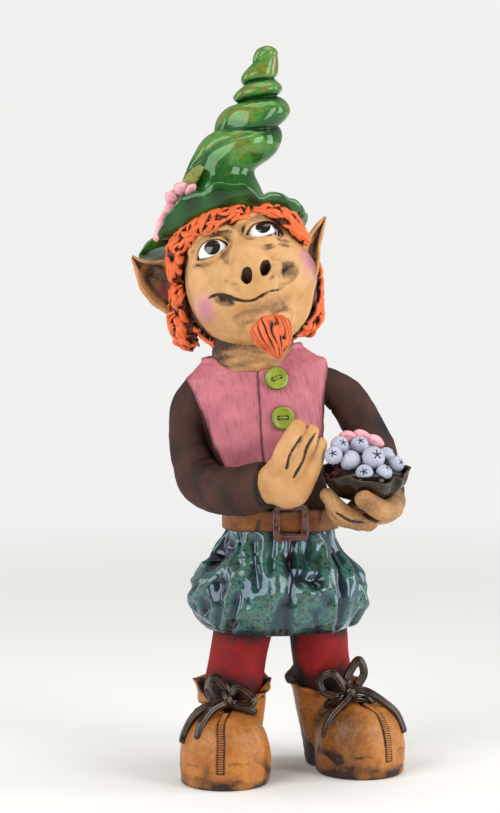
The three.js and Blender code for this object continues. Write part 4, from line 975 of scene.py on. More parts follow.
# Buckle
# A square frame cut from a slab, with softened edges, under a glossy red-brown glaze. It is pressed on to
# the belt a little to the figure's left.
BUCKLE_SIZE = 19.0
BUCKLE_OPENING = 11.5
BUCKLE_STRETCH = 1.08  # how much taller than wide the frame is
BUCKLE_THICKNESS = 3.2
BUCKLE_CORNER = 1.1
BUCKLE_X = 9.6
BUCKLE_Z = 140.0
bar = (BUCKLE_SIZE - BUCKLE_OPENING) / 4
reach = (BUCKLE_SIZE + BUCKLE_OPENING) / 4
path = rounded_box(reach, reach, BUCKLE_CORNER, 7, 0.5, 1)
tangent = unit(np.roll(path, -1, axis=0) - np.roll(path, 1, axis=0))
normal = np.stack([tangent[:, 1], -tangent[:, 0]], axis=1)
round_bar = around(28)
wide = bar * np.sign(np.cos(round_bar)) * np.abs(np.cos(round_bar)) ** 0.55
thick = BUCKLE_THICKNESS / 2 * np.sign(np.sin(round_bar)) * np.abs(np.sin(round_bar)) ** 0.9
dip = 0.35 * bell(wide, 0.7) * (thick < 0)
rings = np.stack([path[:, None, 0] + normal[:, None, 0] * wide, np.tile(thick + dip, (len(path), 1)),
                  (path[:, None, 1] + normal[:, None, 1] * wide) * BUCKLE_STRETCH], -1)
points, faces = loft(rings, looped=True)
points = uneven(points, 0.14, 3, 61)
swing = math.asin((BUCKLE_X - HIPS[0]) / BELT_HALF_WIDTH)
front = HIPS[1] - BELT_HALF_DEPTH * math.cos(swing) - 0.6 - BUCKLE_THICKNESS / 2
points = turned(points, z_turn(swing), (BUCKLE_X, front, BUCKLE_Z))
red_buckle = glaze("red_brown_buckle_glaze", "#4c140c", "#7a2c1c", "#240b08", "#3a100a", patch=6, fleck=0.5,
                   fleck_share=0.25, roughness=0.07, ripple=0.1, coat=0.8)
piece("buckle_frame", (points, faces), red_buckle, "buckle", "buckle",
      wash=np.tile(np.where(np.abs(wide) > 0.8 * bar, -0.6, 0.15), len(path)))

# Shirt
# The thrown and squeezed body under the vest, leaning to the figure's right. It is stained matt dark brown.
BODY_LEAN = math.radians(-9)
WAIST = np.array([3.0, 4.0, 140.0])
body_turn = np.array([[math.cos(BODY_LEAN), 0, math.sin(BODY_LEAN)], [0, 1, 0],
                      [-math.sin(BODY_LEAN), 0, math.cos(BODY_LEAN)]])
TORSO_PROFILE = np.array([
    # height, half width, half depth, middle across and in depth
    (-2, 29, 23, 0, 0), (13, 28.5, 22.5, 0, 0), (28, 29.5, 23, 0, 0), (43, 31.5, 24, 0, 0),
    (58, 34.5, 23.5, 0, 0), (70, 37, 21, 0, 0), (80, 35.5, 17.5, 0, 0), (88, 25, 13, 0, 0),
], float)


def upright(levels, sides):
    """Level rings up a body. Each level has a height, a half width and a half depth, and then its middle."""
    height, wide, deep, x, y = (levels[:, k : k + 1] for k in range(5))
    return round_wall(wide, deep, height, around(sides), (x, y))


shirt_clay = fired_clay("dark_brown_shirt_clay", "#47271d", "#341e17", stain_and_shade="#150e0c", mottle=12,
                        roughness=0.75)
points, faces = loft(upright(spread(TORSO_PROFILE, 70), 120))
points = uneven(points, 0.4, 8, 71)
piece("shirt_body", (turned(points, body_turn, WAIST), faces), shirt_clay, "shirt", "shirt",
      wash=clamp(0.3 + 0.4 * lumpiness(points, 6, 74)))

# Vest
# Two slabs of clay wrapped over the shirt and luted at the shoulders, with a slit down the front. The dusty
# pink underglaze is brushed downwards, dark stain lies in the brush marks and along the edges, and painted
# shade darkens it towards the hem.
VEST_THICKNESS = 2.6
VEST_HEM = 19.0
VEST_GRAIN = 0.7
ARMHOLE = np.array([(10, 22), (26, 24), (44, 30), (58, 32), (72, 36), (86, 41)], float)  # height, reach
ARMHOLE_SHIFT = 2.2  # how far both armholes lie towards the figure's left
SLIT_LINE = [(2.0, 84), (0.4, 66), (-2.2, 40), (-3.4, 14)]


def torso(height):
    """The body's half width and half depth at a height."""
    return [np.interp(height, TORSO_PROFILE[:, 0], TORSO_PROFILE[:, k]) for k in (1, 2)]


def torso_wall(extra):
    """The body, thicker by an extra."""
    def distance(x, y, z):
        wide, deep = (size + extra for size in torso(z))
        far = np.sqrt((x / wide) ** 2 + (y / deep) ** 2)
        return np.sqrt(x * x + y * y) * (1 - 1 / np.maximum(far, 0.05))

    return distance, np.array([-45, -32, 0]), np.array([45, 32, 96])


def beyond_armholes():
    """Everything that lies further out than the armholes."""
    def distance(x, y, z):
        reach = np.interp(z, ARMHOLE[:, 0], ARMHOLE[:, 1])
        return reach - np.abs(x - ARMHOLE_SHIFT) + 0 * y

    return distance, np.array([-60, -60, 0]), np.array([60, 60, 99])


vest = Lump((-43, -30, 12), (43, 30, 97), VEST_GRAIN)
vest.work(torso_wall(VEST_THICKNESS), 0.1)
vest.work(torso_wall(-1.0), 0.1, press=True)
vest.work(beyond_armholes(), 1.0, press=True)
vest.work(slab(2, VEST_HEM, -1), 1.0, press=True)
vest.work(slab(2, 90.5), 1.2, press=True)
vest.work(egg((1, -16, 98), (24, 22, 18)), 1.0, press=True)
vest.work(egg((1, 1, 98), (23, 19, 16)), 1.0, press=True)
slit = np.array([(x, -27.0, z) for x, z in SLIT_LINE])
vest.work(strand(slit, [0.8, 0.6, 0.6, 0.9]), 0.4, press=True)
points, faces, outward, hollow = vest.skin()
brushed = lumpiness(points * [1, 1, 0.1], 1.1, 81, 24)
points = points + outward * (0.45 * lumpiness(points, 9, 82) + 0.13 * brushed)[:, None]
reach = np.interp(points[:, 2], ARMHOLE[:, 0], ARMHOLE[:, 1])
edge_gap = np.minimum(reach - np.abs(points[:, 0] - ARMHOLE_SHIFT), points[:, 2] - VEST_HEM)
slit_gap = np.abs(points[:, 0] - np.interp(points[:, 2], *np.array(SLIT_LINE[::-1]).T[::-1]))
wash = 0.7 * bell(edge_gap, 1.6) + 0.22 * clamp(brushed) + 0.8 * clamp(hollow) + 0.06
# Painted shade towards the hem, under the hands and the dish.
wash += 0.35 * ease(VEST_HEM + 14 - points[:, 2], 0, 14) * clamp(0.6 + 0.6 * lumpiness(points, 12, 83))
wash += 1.1 * bell(slit_gap, 0.6) * (points[:, 1] < 0)
pink_vest = fired_clay("dusty_pink_vest_clay", "#c6747f", "#b2626f", stain_and_shade="#4a262c", mottle=13,
                       roughness=0.6, brushed=(1, 1, 0.08), bump=0.35, grain=0.45)
piece("vest_slabs", (turned(points, body_turn, WAIST), faces), pink_vest, "vest", "vest", wash=clamp(wash))

# Buttons
# Two pressed discs of clay, each with a raised rim and two holes stitched across with a thread of clay. Lime
# green underglaze under clear glaze is worn off to the dark stain at the rim.
BUTTON_RADIUS = 6.4
BUTTON_THICKNESS = 2.6
BUTTON_X = 11.1
BUTTON_GRAIN = 0.26
HOLE_REACH = 2.1
THREAD_REACH = 2.3
BUTTON_HEIGHTS = {"upper": 75.0, "lower": 54.2}
BUTTON_TURN = {"upper": 12, "lower": -8}
lime_button = fired_clay("lime_green_button_clay", "#929f38", "#7a862c", stain_and_shade="#2f3a12", mottle=5,
                         roughness=0.25)
for name, height in BUTTON_HEIGHTS.items():
    disc = Lump((-8, -4, -8), (8, 4, 8), BUTTON_GRAIN)

    def dished(x, y, z):
        far = np.sqrt(x * x + z * z)
        rim = 0.45 * bell(far - BUTTON_RADIUS + 1.3, 0.9)
        face = np.abs(y) - BUTTON_THICKNESS / 2 + 0.55 - rim
        return np.maximum(face, far - BUTTON_RADIUS) + 0 * z

    disc.work((dished, np.array([-8, -4, -8]), np.array([8, 4, 8])), 0.6)
    turn = math.radians(BUTTON_TURN[name])
    for side in (-1, 1):
        hole = np.array([side * HOLE_REACH * math.cos(turn), 0, side * HOLE_REACH * math.sin(turn)])
        disc.work(strand([hole + [0, -4, 0], hole + [0, 1, 0]], [1.0, 0.9]), 0.5, press=True)
    thread = [(side * THREAD_REACH * math.cos(turn), -0.55 - 0.6 * (1 - abs(side)),
               side * THREAD_REACH * math.sin(turn)) for side in (-1, 0, 1)]
    disc.work(strand(thread, [0.55, 0.6, 0.55]), 0.3)
    points, faces, outward, hollow = disc.skin(1.2)
    points = dented(points, outward, (0.1, 3, 91))
    far = np.hypot(points[:, 0], points[:, 2])
    wash = 1.4 * clamp(hollow) + 0.75 * ease(far, BUTTON_RADIUS - 0.9, BUTTON_RADIUS)
    wide, depth = (size + VEST_THICKNESS for size in torso(height))
    swing = math.asin(BUTTON_X / wide)
    slope = (torso(height + 4)[1] - torso(height - 4)[1]) / 8
    tilt = np.array(Euler((math.atan(slope), 0, swing * 0.75)).to_matrix())
    middle = (BUTTON_X, -depth * math.cos(swing) - BUTTON_THICKNESS / 2 - 0.2, height)
    points = turned(turned(points, tilt, middle), body_turn, WAIST)
    piece(f"{name}_stitched_button", (points, faces), lime_button, "button", f"{name}_button",
          wash=clamp(wash))

# Sleeves
# Two thick rolls of clay bent at the elbows, with the wrist ends cut off. They are stained like the shirt
# and carry a few shallow creases inside each elbow.
SLEEVES = {
    # line from the shoulder to the wrist, radii
    "right": ([(-33, 5, 213), (-43, 4.5, 199), (-44, 1, 178), (-37, -12, 160), (-20, -28, 157),
               (-2.5, -38.5, 161)], [10, 10.5, 11, 12.5, 13, 12.6]),
    "left": ([(20, 6, 213), (37, 5.5, 206), (47, 3, 191), (54.5, 1, 176), (58, -5, 162), (61, -22, 151)],
             [10, 10.5, 11, 11.5, 11.5, 9.5]),
}


def roll(line, radii, steps=120, sides=72, flat=1.0, blunt=False):
    """Rings of points round a smooth line. Both ends are rounded, but a blunt roll's last end is cut off."""
    share = np.linspace(0, 1, steps)
    spots, widths = along(line, share), along(radii, share)
    tangents = unit(np.gradient(spots, axis=0))
    side = np.cross(tangents[0], [0, 0, 1.0] if abs(tangents[0][2]) < 0.9 else [0, 1.0, 0])
    rings = []
    angle = around(sides)[:, None]
    length = np.linalg.norm(np.diff(spots, axis=0), axis=1).sum()
    for k, (spot, width, tangent) in enumerate(zip(spots, widths, tangents)):
        side = unit(side - tangent * (side @ tangent))
        other = np.cross(tangent, side)
        near = min(share[k], 1 - share[k]) * length
        cut = blunt and share[k] > 0.5
        cap = 1.2 if cut else width
        shrink = math.sqrt(max(0.0, 1 - max(0.0, 1 - near / cap) ** 2)) if near < cap else 1.0
        shrink = 1 - 1.2 / width * (1 - shrink) if cut else max(shrink, 0.04)
        rings.append(spot + width * shrink * (np.cos(angle) * side + flat * np.sin(angle) * other))
    return np.array(rings)


for side, (line, radii) in SLEEVES.items():
    rings = roll(line, radii, blunt=True)
    middles = rings.mean(axis=1, keepdims=True)
    count, sides = rings.shape[:2]
    flat_points = rings.reshape(-1, 3)
    outward = unit((rings - middles).reshape(-1, 3))
    share = np.repeat(np.linspace(0, 1, count), sides)
    bend = np.gradient(np.gradient(middles[:, 0], axis=0), axis=0)
    inside = np.sum(outward * np.repeat(bend, sides, axis=0), axis=1)
    inside = ease(inside / np.abs(inside).max(), 0.15, 0.8)
    creases = 0.8 * inside * clamp(np.sin(share * 62 + 1.5 * lumpiness(flat_points, 20, 101))) ** 4
    swell = 0.55 * lumpiness(flat_points, 12, 102) + 0.15 * lumpiness(flat_points, 4, 103)
    flat_points = flat_points + outward * (swell - creases)[:, None]
    points, faces = loft(flat_points.reshape(count, sides, 3))
    # Painted shade in a band at the wrist end and on its cut face, where the sleeve meets the hand.
    wash = 0.2 + creases + 0.45 * lumpiness(flat_points, 10, 104) + 0.8 * ease(share, 0.975, 1)
    wash = np.concatenate([wash, [0.3, 1.0]])
    piece(f"{side}_sleeve_roll", (points, faces), shirt_clay, "shirt", f"{side}_sleeve", wash=clamp(wash))

# Hands
# Each is a mitten of tan clay with its fingers divided by cut lines. The right hand's fingertips lean on
# the vest, and the left hand is cupped under the dish.
HANDS = {
    "right": {
        "palm": ((8.8, -41, 165), (12.8, 8, 15.5)),
        "rolls": [
            ([(-5, -38, 161), (5, -40, 164)], [9.6, 10.4]),
            ([(3, -45, 171), (8, -46, 183), (13, -43, 192)], [5.8, 5.5, 4.3]),
            ([(9.5, -45, 167), (15.5, -45, 180), (20, -41, 189.5)], [5.6, 5.3, 4.1]),
            ([(15.5, -42, 161), (20.5, -42, 173), (24.5, -39, 183)], [5.6, 5.4, 4.2]),
            ([(4, -36, 174), (10, -35, 181), (16, -36, 184)], [4.8, 4.4, 3.8]),
        ],
        "cuts": [
            ([(7.0, 171.4), (9.3, 179.3), (14.8, 187.7)], 0.6),
            ([(10.7, 166.8), (15.7, 175.5), (17.5, 182.1), (21.6, 189)], 0.65),
        ],
        "box": ((-19, -55, 145), (33, -25, 200)),
        "stain_and_shade": 0.0,
    },
    "left": {
        "palm": ((53, -31, 147.5), (15.5, 13, 7.5)),
        "rolls": [
            ([(61, -23, 151), (56, -29, 149)], [9, 9]),
            ([(50, -44, 143), (38.5, -48, 146.5), (28.4, -46, 157)], [5, 4.9, 3.9]),
            ([(45, -37, 142), (34, -40, 146), (30, -37, 156)], [5, 4.6, 3.6]),
            ([(43, -29, 143), (35, -29, 146), (32, -27, 154)], [4.8, 4.4, 3.4]),
            ([(63, -36, 149.5), (56, -50, 150), (47, -57, 156.5)], [5.6, 5.6, 4.7]),
        ],
        "cuts": [([(33, 148.5), (40, 144.6), (47, 143.4)], 0.5)],
        "box": ((20, -65, 132), (76, -10, 168)),
        # painted shade over the whole left hand, which lies under the dish
        "stain_and_shade": 0.42,
    },
}
HAND_GRAIN = 0.5
tan_skin = fired_clay("tan_skin_clay", "#cb9a66", "#b98550", stain_and_shade="#3a2113", mottle=10, roughness=0.55,
                      grain=0.4)


def front_of(clay, x, z, start):
    """The place on the clay's front at the given distances across and up, looked for from the start on."""
    depths = np.arange(start, 0, 0.25)
    inside = clay.read(clay.depth, np.array([[x, y, z] for y in depths])) < 0
    return np.array([x, depths[inside.argmax()] if inside.any() else 0.5 * start, z])


for side, hand in HANDS.items():
    clay = Lump(*hand["box"], HAND_GRAIN)
    clay.work(egg(*hand["palm"]), 1)
    for index, (line, radii) in enumerate(hand["rolls"]):
        clay.work(strand(line, radii), 3.0 if index == 0 else 0.9)
    cuts = []
    for line, radius in hand["cuts"]:
        spots = [front_of(clay, x, z, -70) for x, z in spread(line, 12)]
        cuts.append(strand(spots, [0.5 * radius] + [radius] * 10 + [0.5 * radius], 33))
        clay.work(cuts[-1], 0.5, press=True)
    points, faces, outward, hollow = clay.skin(2.0)
    points = dented(points, outward, (0.3, 7, 111), (0.07, 2, 112))
    wrist = np.array(hand["rolls"][0][0][0], float)
    near = bell(np.linalg.norm(points - wrist, axis=1), 11.5, 4)
    # Painted shade near the wrist, where the hand meets the sleeve, and over the left hand.
    wash = 1.6 * clamp(hollow - 0.12) + 0.25 * near + 0.14 * lumpiness(points, 8, 113) + hand["stain_and_shade"]
    for distance, _, _ in cuts:
        wash += 1.2 * (1 - ease(distance(*points.T), 0.0, 0.4))
    piece(f"{side}_hand_mitten", (points, faces), tan_skin, "skin", f"{side}_hand", wash=clamp(wash))

# Dish
# A leaf of clay folded into a shallow bowl, with a thin wandering rim and long dents in its side. Its glaze
# is a glossy black-brown that breaks to brown on the rim.
DISH_FOOT = np.array([48.5, -36.0, 154.0])
DISH_RADIUS = 23.0
DISH_DEPTH = 14.5
DISH_TILT = math.radians(9)
DISH_WALL_PROFILE = np.array([
    # share of the radius, share of the depth, from the foot over the rim to the inside
    (0.10, 0.0), (0.30, 0.0), (0.52, 0.09), (0.70, 0.25), (0.85, 0.48), (0.94, 0.72), (0.985, 0.93),
    (1.0, 1.0), (0.965, 1.03), (0.93, 0.97), (0.87, 0.75), (0.76, 0.5), (0.6, 0.33), (0.4, 0.24), (0.15, 0.2),
])
angle = around(240)
levels = spread(DISH_WALL_PROFILE, 90)
share, rise = levels[:, 0][:, None], levels[:, 1][:, None]
wander = 1.4 * np.sin(3 * angle + 0.6) + 0.8 * np.sin(5 * angle) + 0.5 * np.sin(9 * angle + 1.3)
fold = np.zeros_like(angle)
for place, width, depth in ((-118, 9, 1.7), (-70, 14, -1.6), (-44, 7, 2.0), (-15, 10, 1.2), (50, 12, 1.6),
                            (95, 9, 1.3), (150, 12, 1.8), (190, 10, 1.4)):
    near = (np.degrees(angle) - place + 180) % 360 - 180
    fold += depth * bell(near, width)
radius = DISH_RADIUS * share + (0.55 * wander - fold) * share**2
z = DISH_DEPTH * rise + (0.9 * wander * share**3 + 0.6 * fold * share**3) * (rise > 0.15)
points, faces = loft(round_wall(radius, 0.86 * radius, z, angle))
points = uneven(points, 0.3, 5, 121, ease(points[:, 2:], 0.2, 3))
rim = np.concatenate([(-0.9 * bell(rise - 1, 0.05) + 0 * angle).ravel(), [0, 0]])
tilt = np.array(Euler((DISH_TILT, 0, 0)).to_matrix())
dark_dish = glaze("black_brown_dish_glaze", "#140e0b", "#43321f", "#0a0807", "#241a12", patch=8, fleck=0.6,
                  fleck_share=0.4, roughness=0.12, ripple=0.35, sheen="#a39a90")
piece("folded_dish", (turned(points, tilt, DISH_FOOT), faces), dark_dish, "dish", "dish",
      wash=rim + 0.3 * lumpiness(points, 6, 124))

# Berry bed
# A lump of clay in the bottom of the dish that the berries are pressed into. It has the dish's glaze and is
# hardly seen between them.
bed = Lump((27, -54, 155), (71, -16, 182), 0.6)
bed.work(egg((48.5, -35.5, 164), (21, 18, 8)), 1)
for middle, radius in (((40, -33, 171.5), 6.5), ((48, -32, 171.5), 6.5), ((56, -33, 169.5), 6.5),
                       ((45, -41, 166.5), 6), ((54, -41, 166), 6)):
    bed.work(egg(middle, (radius,) * 3), 3)
points, faces, outward, hollow = bed.skin()
piece("berry_bed_lump", (dented(points, outward, (0.5, 4, 131)), faces), dark_dish, "dish",
      "berry_bed", wash=0.3 + 0 * points[:, 0])

# Berries
# Eleven balls of clay in lilac-blue underglaze, each with a star cut in its top and dark stain rubbed round
# it, and painted shade on its lower half. One tree sets the same ball on every point, with the point's own
# size and aim.
BERRIES = [
    # middle, radius, direction of the star
    ((34.8, -37, 182.2), 4.9, (0.5, -0.8, 0.5)), ((31.5, -44, 177.6), 4.8, (-0.1, -0.95, 0.4)),
    ((40.3, -42, 174.6), 5.6, (-0.7, -0.1, 0.7)), ((45.6, -30.2, 181.4), 4.9, (0.1, -0.7, 0.75)),
    ((52.3, -42, 176.2), 6.1, (0.35, -0.85, 0.45)), ((59.8, -27.7, 175.4), 4.9, (0.9, 0.1, 0.4)),
    ((64.4, -34.5, 172), 4.6, (0.75, -0.6, 0.35)), ((47.4, -48.6, 168.8), 4.7, (-0.1, -0.95, 0.35)),
    ((57.6, -46.8, 168.8), 4.4, (0.5, -0.3, 0.8)), ((39.4, -24.3, 177), 4.9, (-0.5, 0.6, 0.6)),
    ((50.2, -23.3, 176.6), 4.9, (0.2, 0.8, 0.6)),
]


def star_berry():
    """A ball with a five-pointed star pressed into its top, at the size of 1. Returns points, faces and a
    mark of stain and painted shade.
    """
    angle = around(60)[None, :]
    slope = np.linspace(0.02, math.pi - 0.02, 44)[:, None]
    star = 0.40 * (1 + 0.42 * np.cos(5 * angle))
    ray = bell(slope * np.sin(((5 * angle) % (2 * math.pi) - math.pi) / 5), 0.075) * (slope < 0.52)
    cup = 0.10 * bell(slope, 0.5, 4)
    lift = 0.07 * bell(slope - star, 0.09)
    radius = 1 - cup + lift - 0.06 * ray - 0.05 * (1 - np.cos(slope)) ** 2 / 4
    wide = radius * np.sin(slope)
    points, faces = loft(round_wall(wide, wide, 0.95 * radius * np.cos(slope), angle)[::-1])
    # Stain in and round the star, and painted shade on the lower half, where the berries touch.
    wash = (1.1 * ray + 0.55 * bell(slope, 0.16) + 0.5 * ease(slope, 1.7, 2.7) + 0 * angle)[::-1]
    return points, faces, np.concatenate([wash.ravel(), [0.6, 1.0]])


lilac_berry = fired_clay("lilac_blue_berry_clay", "#bcc0ce", "#a2a6ba", stain_and_shade="#15151a", mottle=4,
                         grain=0.35, roughness=0.4)
points, faces, wash = star_berry()
pattern = bpy.data.meshes.new("star_berry")
pattern.from_pydata(points.tolist(), [], faces)
set_marks(pattern, {"wash": wash})
pattern.shade_smooth()
pattern = bpy.data.objects.new("star_berry", pattern)
scene.collection.objects.link(pattern)
heap, given = shape_tree("heap_of_berries", {"Points": "Geometry", "Berry": "Object", "Clay": "Material"})
aim = named(heap, "aim", "FLOAT_VECTOR")
look = add(heap, "FunctionNodeAlignRotationToVector", {"Vector": aim}, axis="Z")
shape = add(heap, "GeometryNodeObjectInfo", {"Object": (given, "Berry")})
end_tree(heap, given, add(heap, "GeometryNodeInstanceOnPoints", {
    "Points": (given, "Points"), "Instance": (shape, "Geometry"), "Rotation": look,
    "Scale": named(heap, "size")}))
for index, (middle, radius, aim) in enumerate(BERRIES, 1):
    mesh = raw_mesh("berry_place", [middle])
    set_marks(mesh, {"size": [radius * MM], "aim": [aim]})
    mesh = grown(heap, mesh, {"Berry": pattern, "Clay": lilac_berry})
    piece(f"star_berry_{index}", mesh, lilac_berry, "berry", f"berry_{index}")
bpy.data.objects.remove(pattern)

# Blossoms
# Small pellets of clay flattened into petals and stuck on in bunches: one behind the berries and two beside
# the leaf on the hat's brim. They are pale pink underglaze with a darker edge.
BLOSSOMS = {
    "dish_blossom": [
        ((39.6, -26, 185.8), (4.4, 3, 3.2), (0, 8, 0)), ((47, -24, 185.6), (5.2, 3, 3.4), (0, 16, 0)),
        ((54.2, -24, 183), (4.8, 3, 3.4), (0, 30, 0)),
    ],
    "upper_blossom": [
        ((-48.5, -9, 315.5), (3.8, 3.4, 3.8), (0, 0, 0)), ((-53, -8, 311), (3.8, 3.4, 3.8), (0, 0, 0)),
        ((-53.5, -7, 305.5), (3.4, 3.2, 3.4), (0, 0, 0)), ((-43, -11, 315.2), (3.8, 2.6, 2.4), (0, -46, 0)),
    ],
}
PETAL_GRAIN = 0.35
pink_petal = fired_clay("pale_pink_petal_clay", "#f0b4bc", "#e29da7", stain_and_shade="#8d4148", mottle=4,
                        roughness=0.4, stain_and_shade_share=0.8)
for name, petals in BLOSSOMS.items():
    middles = np.array([p[0] for p in petals], float)
    clay = Lump(middles.min(0) - 8, middles.max(0) + 8, PETAL_GRAIN)
    for middle, radii, turn in petals:
        clay.work(egg(middle, radii, turn), 0.5)
    for middle, radii, turn in petals:
        front = np.array(middle) + [0, -radii[1] - 0.4, 0]
        clay.work(strand([front + [-0.6 * radii[0], 0.6, 0.4], front, front + [0.5 * radii[0], 0.6, -0.6]],
                         [0.3, 0.6, 0.3]), 0.7, press=True)
    points, faces, outward, hollow = clay.skin(1.4)
    points = dented(points, outward, (0.25, 2.6, 141))
    piece(f"{name}_petals", (points, faces), pink_petal, "blossom", name,
          wash=clamp(1.2 * clamp(hollow) + 0.15))
drop = Lump((-67, -11, 283), (-50, 2, 309), PETAL_GRAIN)
drop.work(strand([(-55.5, -6, 303), (-59.2, -5, 295.5), (-61.5, -4, 289)], [2.4, 2.7, 1.6]), 0.5)
points, faces, outward, _ = drop.skin(1.4)
points = dented(points, outward, (0.2, 3, 142))
piece("lower_blossom_petal", (points, faces), pink_petal, "blossom", "lower_blossom",
      wash=clamp(0.2 + 0.4 * lumpiness(points, 3, 143)))

# Neck
# A short thick coil between the body and the head, smoothed into the chin. It is the same tan clay, darkened
# all over with painted shade, most where it meets the vest, under the head and on the figure's right side.
NECK_LEVELS = np.array([
    # height, half width, half depth, middle across and in depth
    (206, 23, 17.5, -8.5, 3), (222, 22.5, 18, -9.5, 2), (244, 21.5, 18, -11, 1),
], float)
points, faces = loft(upright(spread(NECK_LEVELS, 60), 120))
points = uneven(points, 0.35, 9, 151)
scraped = lumpiness(points * [0.25, 0.25, 1], 1.6, 154)
# Painted shade: darker where the neck meets the vest and the head, and on the figure's right side.
wash = 0.9 * (1 - ease(points[:, 2], 212, 221)) + 0.42 + 0.16 * scraped + 0.5 * ease(points[:, 2], 228, 236)
wash += 0.5 * ease(-points[:, 0], 20, 29)
piece("neck_coil", (points, faces), tan_skin, "skin", "neck", wash=clamp(wash))

# Head
# A ball of clay with the nose, cheeks and lids added and smoothed in, and the mouth, nostrils and dimple
# pressed with a tool. It is tipped back and leans to the figure's right. The cheeks have a mauve blush.
HEAD_CENTRE = np.array([-12.0, 0.0, 267.0])
HEAD_RADII = (34.5, 31.0, 38.5)
HEAD_TURN_DEGREES = (-22, -16, 3)


def turns(x, y, z):
    """A turn by angles about X, then Y, then Z."""
    first, second, third = (Euler(a).to_matrix() for a in ((x, 0, 0), (0, y, 0), (0, 0, z)))
    return np.array(third @ second @ first)


head_turn = turns(*(math.radians(a) for a in HEAD_TURN_DEGREES))
HEAD_GRAIN = 0.53
LOOK_DOWN = math.radians(5)  # how far the camera looks down
towards_viewer = head_turn.T @ np.array([0, -math.cos(LOOK_DOWN), math.sin(LOOK_DOWN)])
EYES = {
    # eyeball, its radii, opening's middle across and up, half width, rise of the upper and lower lid, turn,
    # pupil across and up, its radius
    "right": ((-13.8, -21, 13), (9.2, 6.6, 7.6), (-15.6, 12.2), 8.6, 6.4, 3.6, 3, (-15.0, 14.0), 4.4),
    "left": ((13.2, -21, 15), (8.8, 6.2, 7.2), (11.9, 14.0), 8.0, 6.6, 2.6, -7, (13.8, 17.4), 4.1),
}
skin_clay = fired_clay("tan_face_clay", "#d3a570", "#c39058", stain_and_shade="#2f1a12", mottle=12, roughness=0.55,
                       grain=0.4, blush="#b8629a")


def on_head(points):
    """Takes points from the head's own frame to the figure's."""
    return turned(points, head_turn, HEAD_CENTRE)


def on_skull(x, z):
    """The place on the plain skull at the given distances across and up the face."""
    depth = 1 - (x / HEAD_RADII[0]) ** 2 - (z / HEAD_RADII[2]) ** 2
    return np.array([x, -HEAD_RADII[1] * math.sqrt(max(depth, 0.02)), z])


def facing(clay, spot):
    """The place on the clay that the viewer sees where a place on the plain skull would be."""
    reach = np.arange(-8, 16, 0.2)
    line = np.asarray(spot) + towards_viewer * reach[:, None]
    inside = clay.read(clay.depth, line) < 0
    return line[inside.nonzero()[0][-1]] if inside.any() else np.asarray(spot)


def almond(middle, half_width, upper, lower, turn, high, low=-60.0):
    """An almond cut straight back into the face: its upper and lower arcs meet in two corners."""
    spin = math.radians(turn)

    def distance(x, y, z):
        u = (x - middle[0]) * math.cos(spin) + (z - middle[1]) * math.sin(spin)
        v = (z - middle[1]) * math.cos(spin) - (x - middle[0]) * math.sin(spin)
        arcs = []
        for rise, sign in ((upper, 1), (lower, -1)):
            radius = (half_width**2 + rise**2) / (2 * rise)
            arcs.append(np.sqrt(u * u + (v - sign * (rise - radius)) ** 2) - radius)
        return np.maximum(np.maximum(arcs[0], arcs[1]), np.maximum(low - y, y - high))

    return (distance, np.array([middle[0] - half_width, low, middle[1] - half_width]),
            np.array([middle[0] + half_width, high, middle[1] + half_width]))


def lid_line(middle, half_width, rise, turn, clay, count=9):
    """Places along one arc of an eye's opening, on the skin."""
    spin = math.radians(turn)
    radius = (half_width**2 + rise**2) / (2 * abs(rise))
    spots = []
    for u in np.linspace(-half_width, half_width, count):
        v = math.copysign(math.sqrt(radius**2 - u * u) - radius + abs(rise), rise)
        x = middle[0] + u * math.cos(spin) - v * math.sin(spin)
        z = middle[1] + u * math.sin(spin) + v * math.cos(spin)
        spots.append(front_of(clay, x, z, -50))
    return np.array(spots)


face = Lump((-37, -50, -47), (37, 34, 41), HEAD_GRAIN)
ADDED = [
    # an egg's middle or a roll's line, its radii, how softly it joins
    ((0, 0, 0), HEAD_RADII, 1), ((-21, -15, -11), (12.5, 12, 12), 7), ((22, -14, -8), (12, 12, 13), 7),
    ((2.5, -25, -14), (17, 8.5, 9), 7), ((2.5, -19, -32), (12, 10, 7), 7),
    ([(-1.5, -26, 17), (-0.5, -28.5, 10), (2, -33, 0)], [3.2, 4.8, 6.8], 5),
    ((2.6, -32.5, -5), (9.6, 11, 8.8), 4), ((-7.2, -30, -10.5), (5.2, 6, 4.8), 1.8),
    ((13.4, -29.5, -8.5), (5.0, 6.2, 4.8), 2.2),
    ([(-25, -15, 19), (-16, -23.5, 23.5), (-6, -27.5, 21)], [2.5, 3.4, 2.6], 4),
    ([(3, -27.5, 22), (11.5, -24.5, 25), (19.5, -19, 20)], [2.2, 2.7, 1.2], 3.5),
]
for place, radii, soft in ADDED:
    form = egg if np.ndim(place) == 1 else strand
    face.work(form(place, radii), soft)
for eye in EYES.values():
    _, _, middle, half_width, upper, lower, turn, _, _ = eye
    face.work(almond(middle, half_width + 2.0, upper + 1.6, lower + 1.6, turn, -19), 4.5, press=True)
for eye in EYES.values():
    _, _, middle, half_width, upper, lower, turn, _, _ = eye
    for rise, radius, push in ((upper + 1.2, 1.9, 0.4), (-lower - 0.9, 1.5, 0.7)):
        line = lid_line(middle, half_width + 1.2, rise, turn, face)
        line[:, 1] = np.minimum(line[:, 1], [on_skull(x, z)[1] for x, _, z in line]) + push
        line[[0, -1], 1] += 1.0
        face.work(strand(line, [0.4, radius, radius, radius, 0.4], 16), 1.6)
    face.work(almond(middle, half_width, upper, lower, turn, -12), 0.5, press=True)
bag = [facing(face, on_skull(x, z)) for x, z in ((4.2, 10.3), (8.5, 8.2), (14, 7.8), (19.5, 9.4))]
face.work(strand(np.array(bag) + [0, 0.8, 0], [0.8, 1.9, 2.0, 0.9]), 1.8)
under_bag = [facing(face, on_skull(x, z)) for x, z in ((3.6, 9.0), (7.6, 6.0), (12.5, 4.9), (17, 5.2))]
face.work(strand(np.array(under_bag), [0.4, 0.8, 1.1, 0.5]), 1.2, press=True)
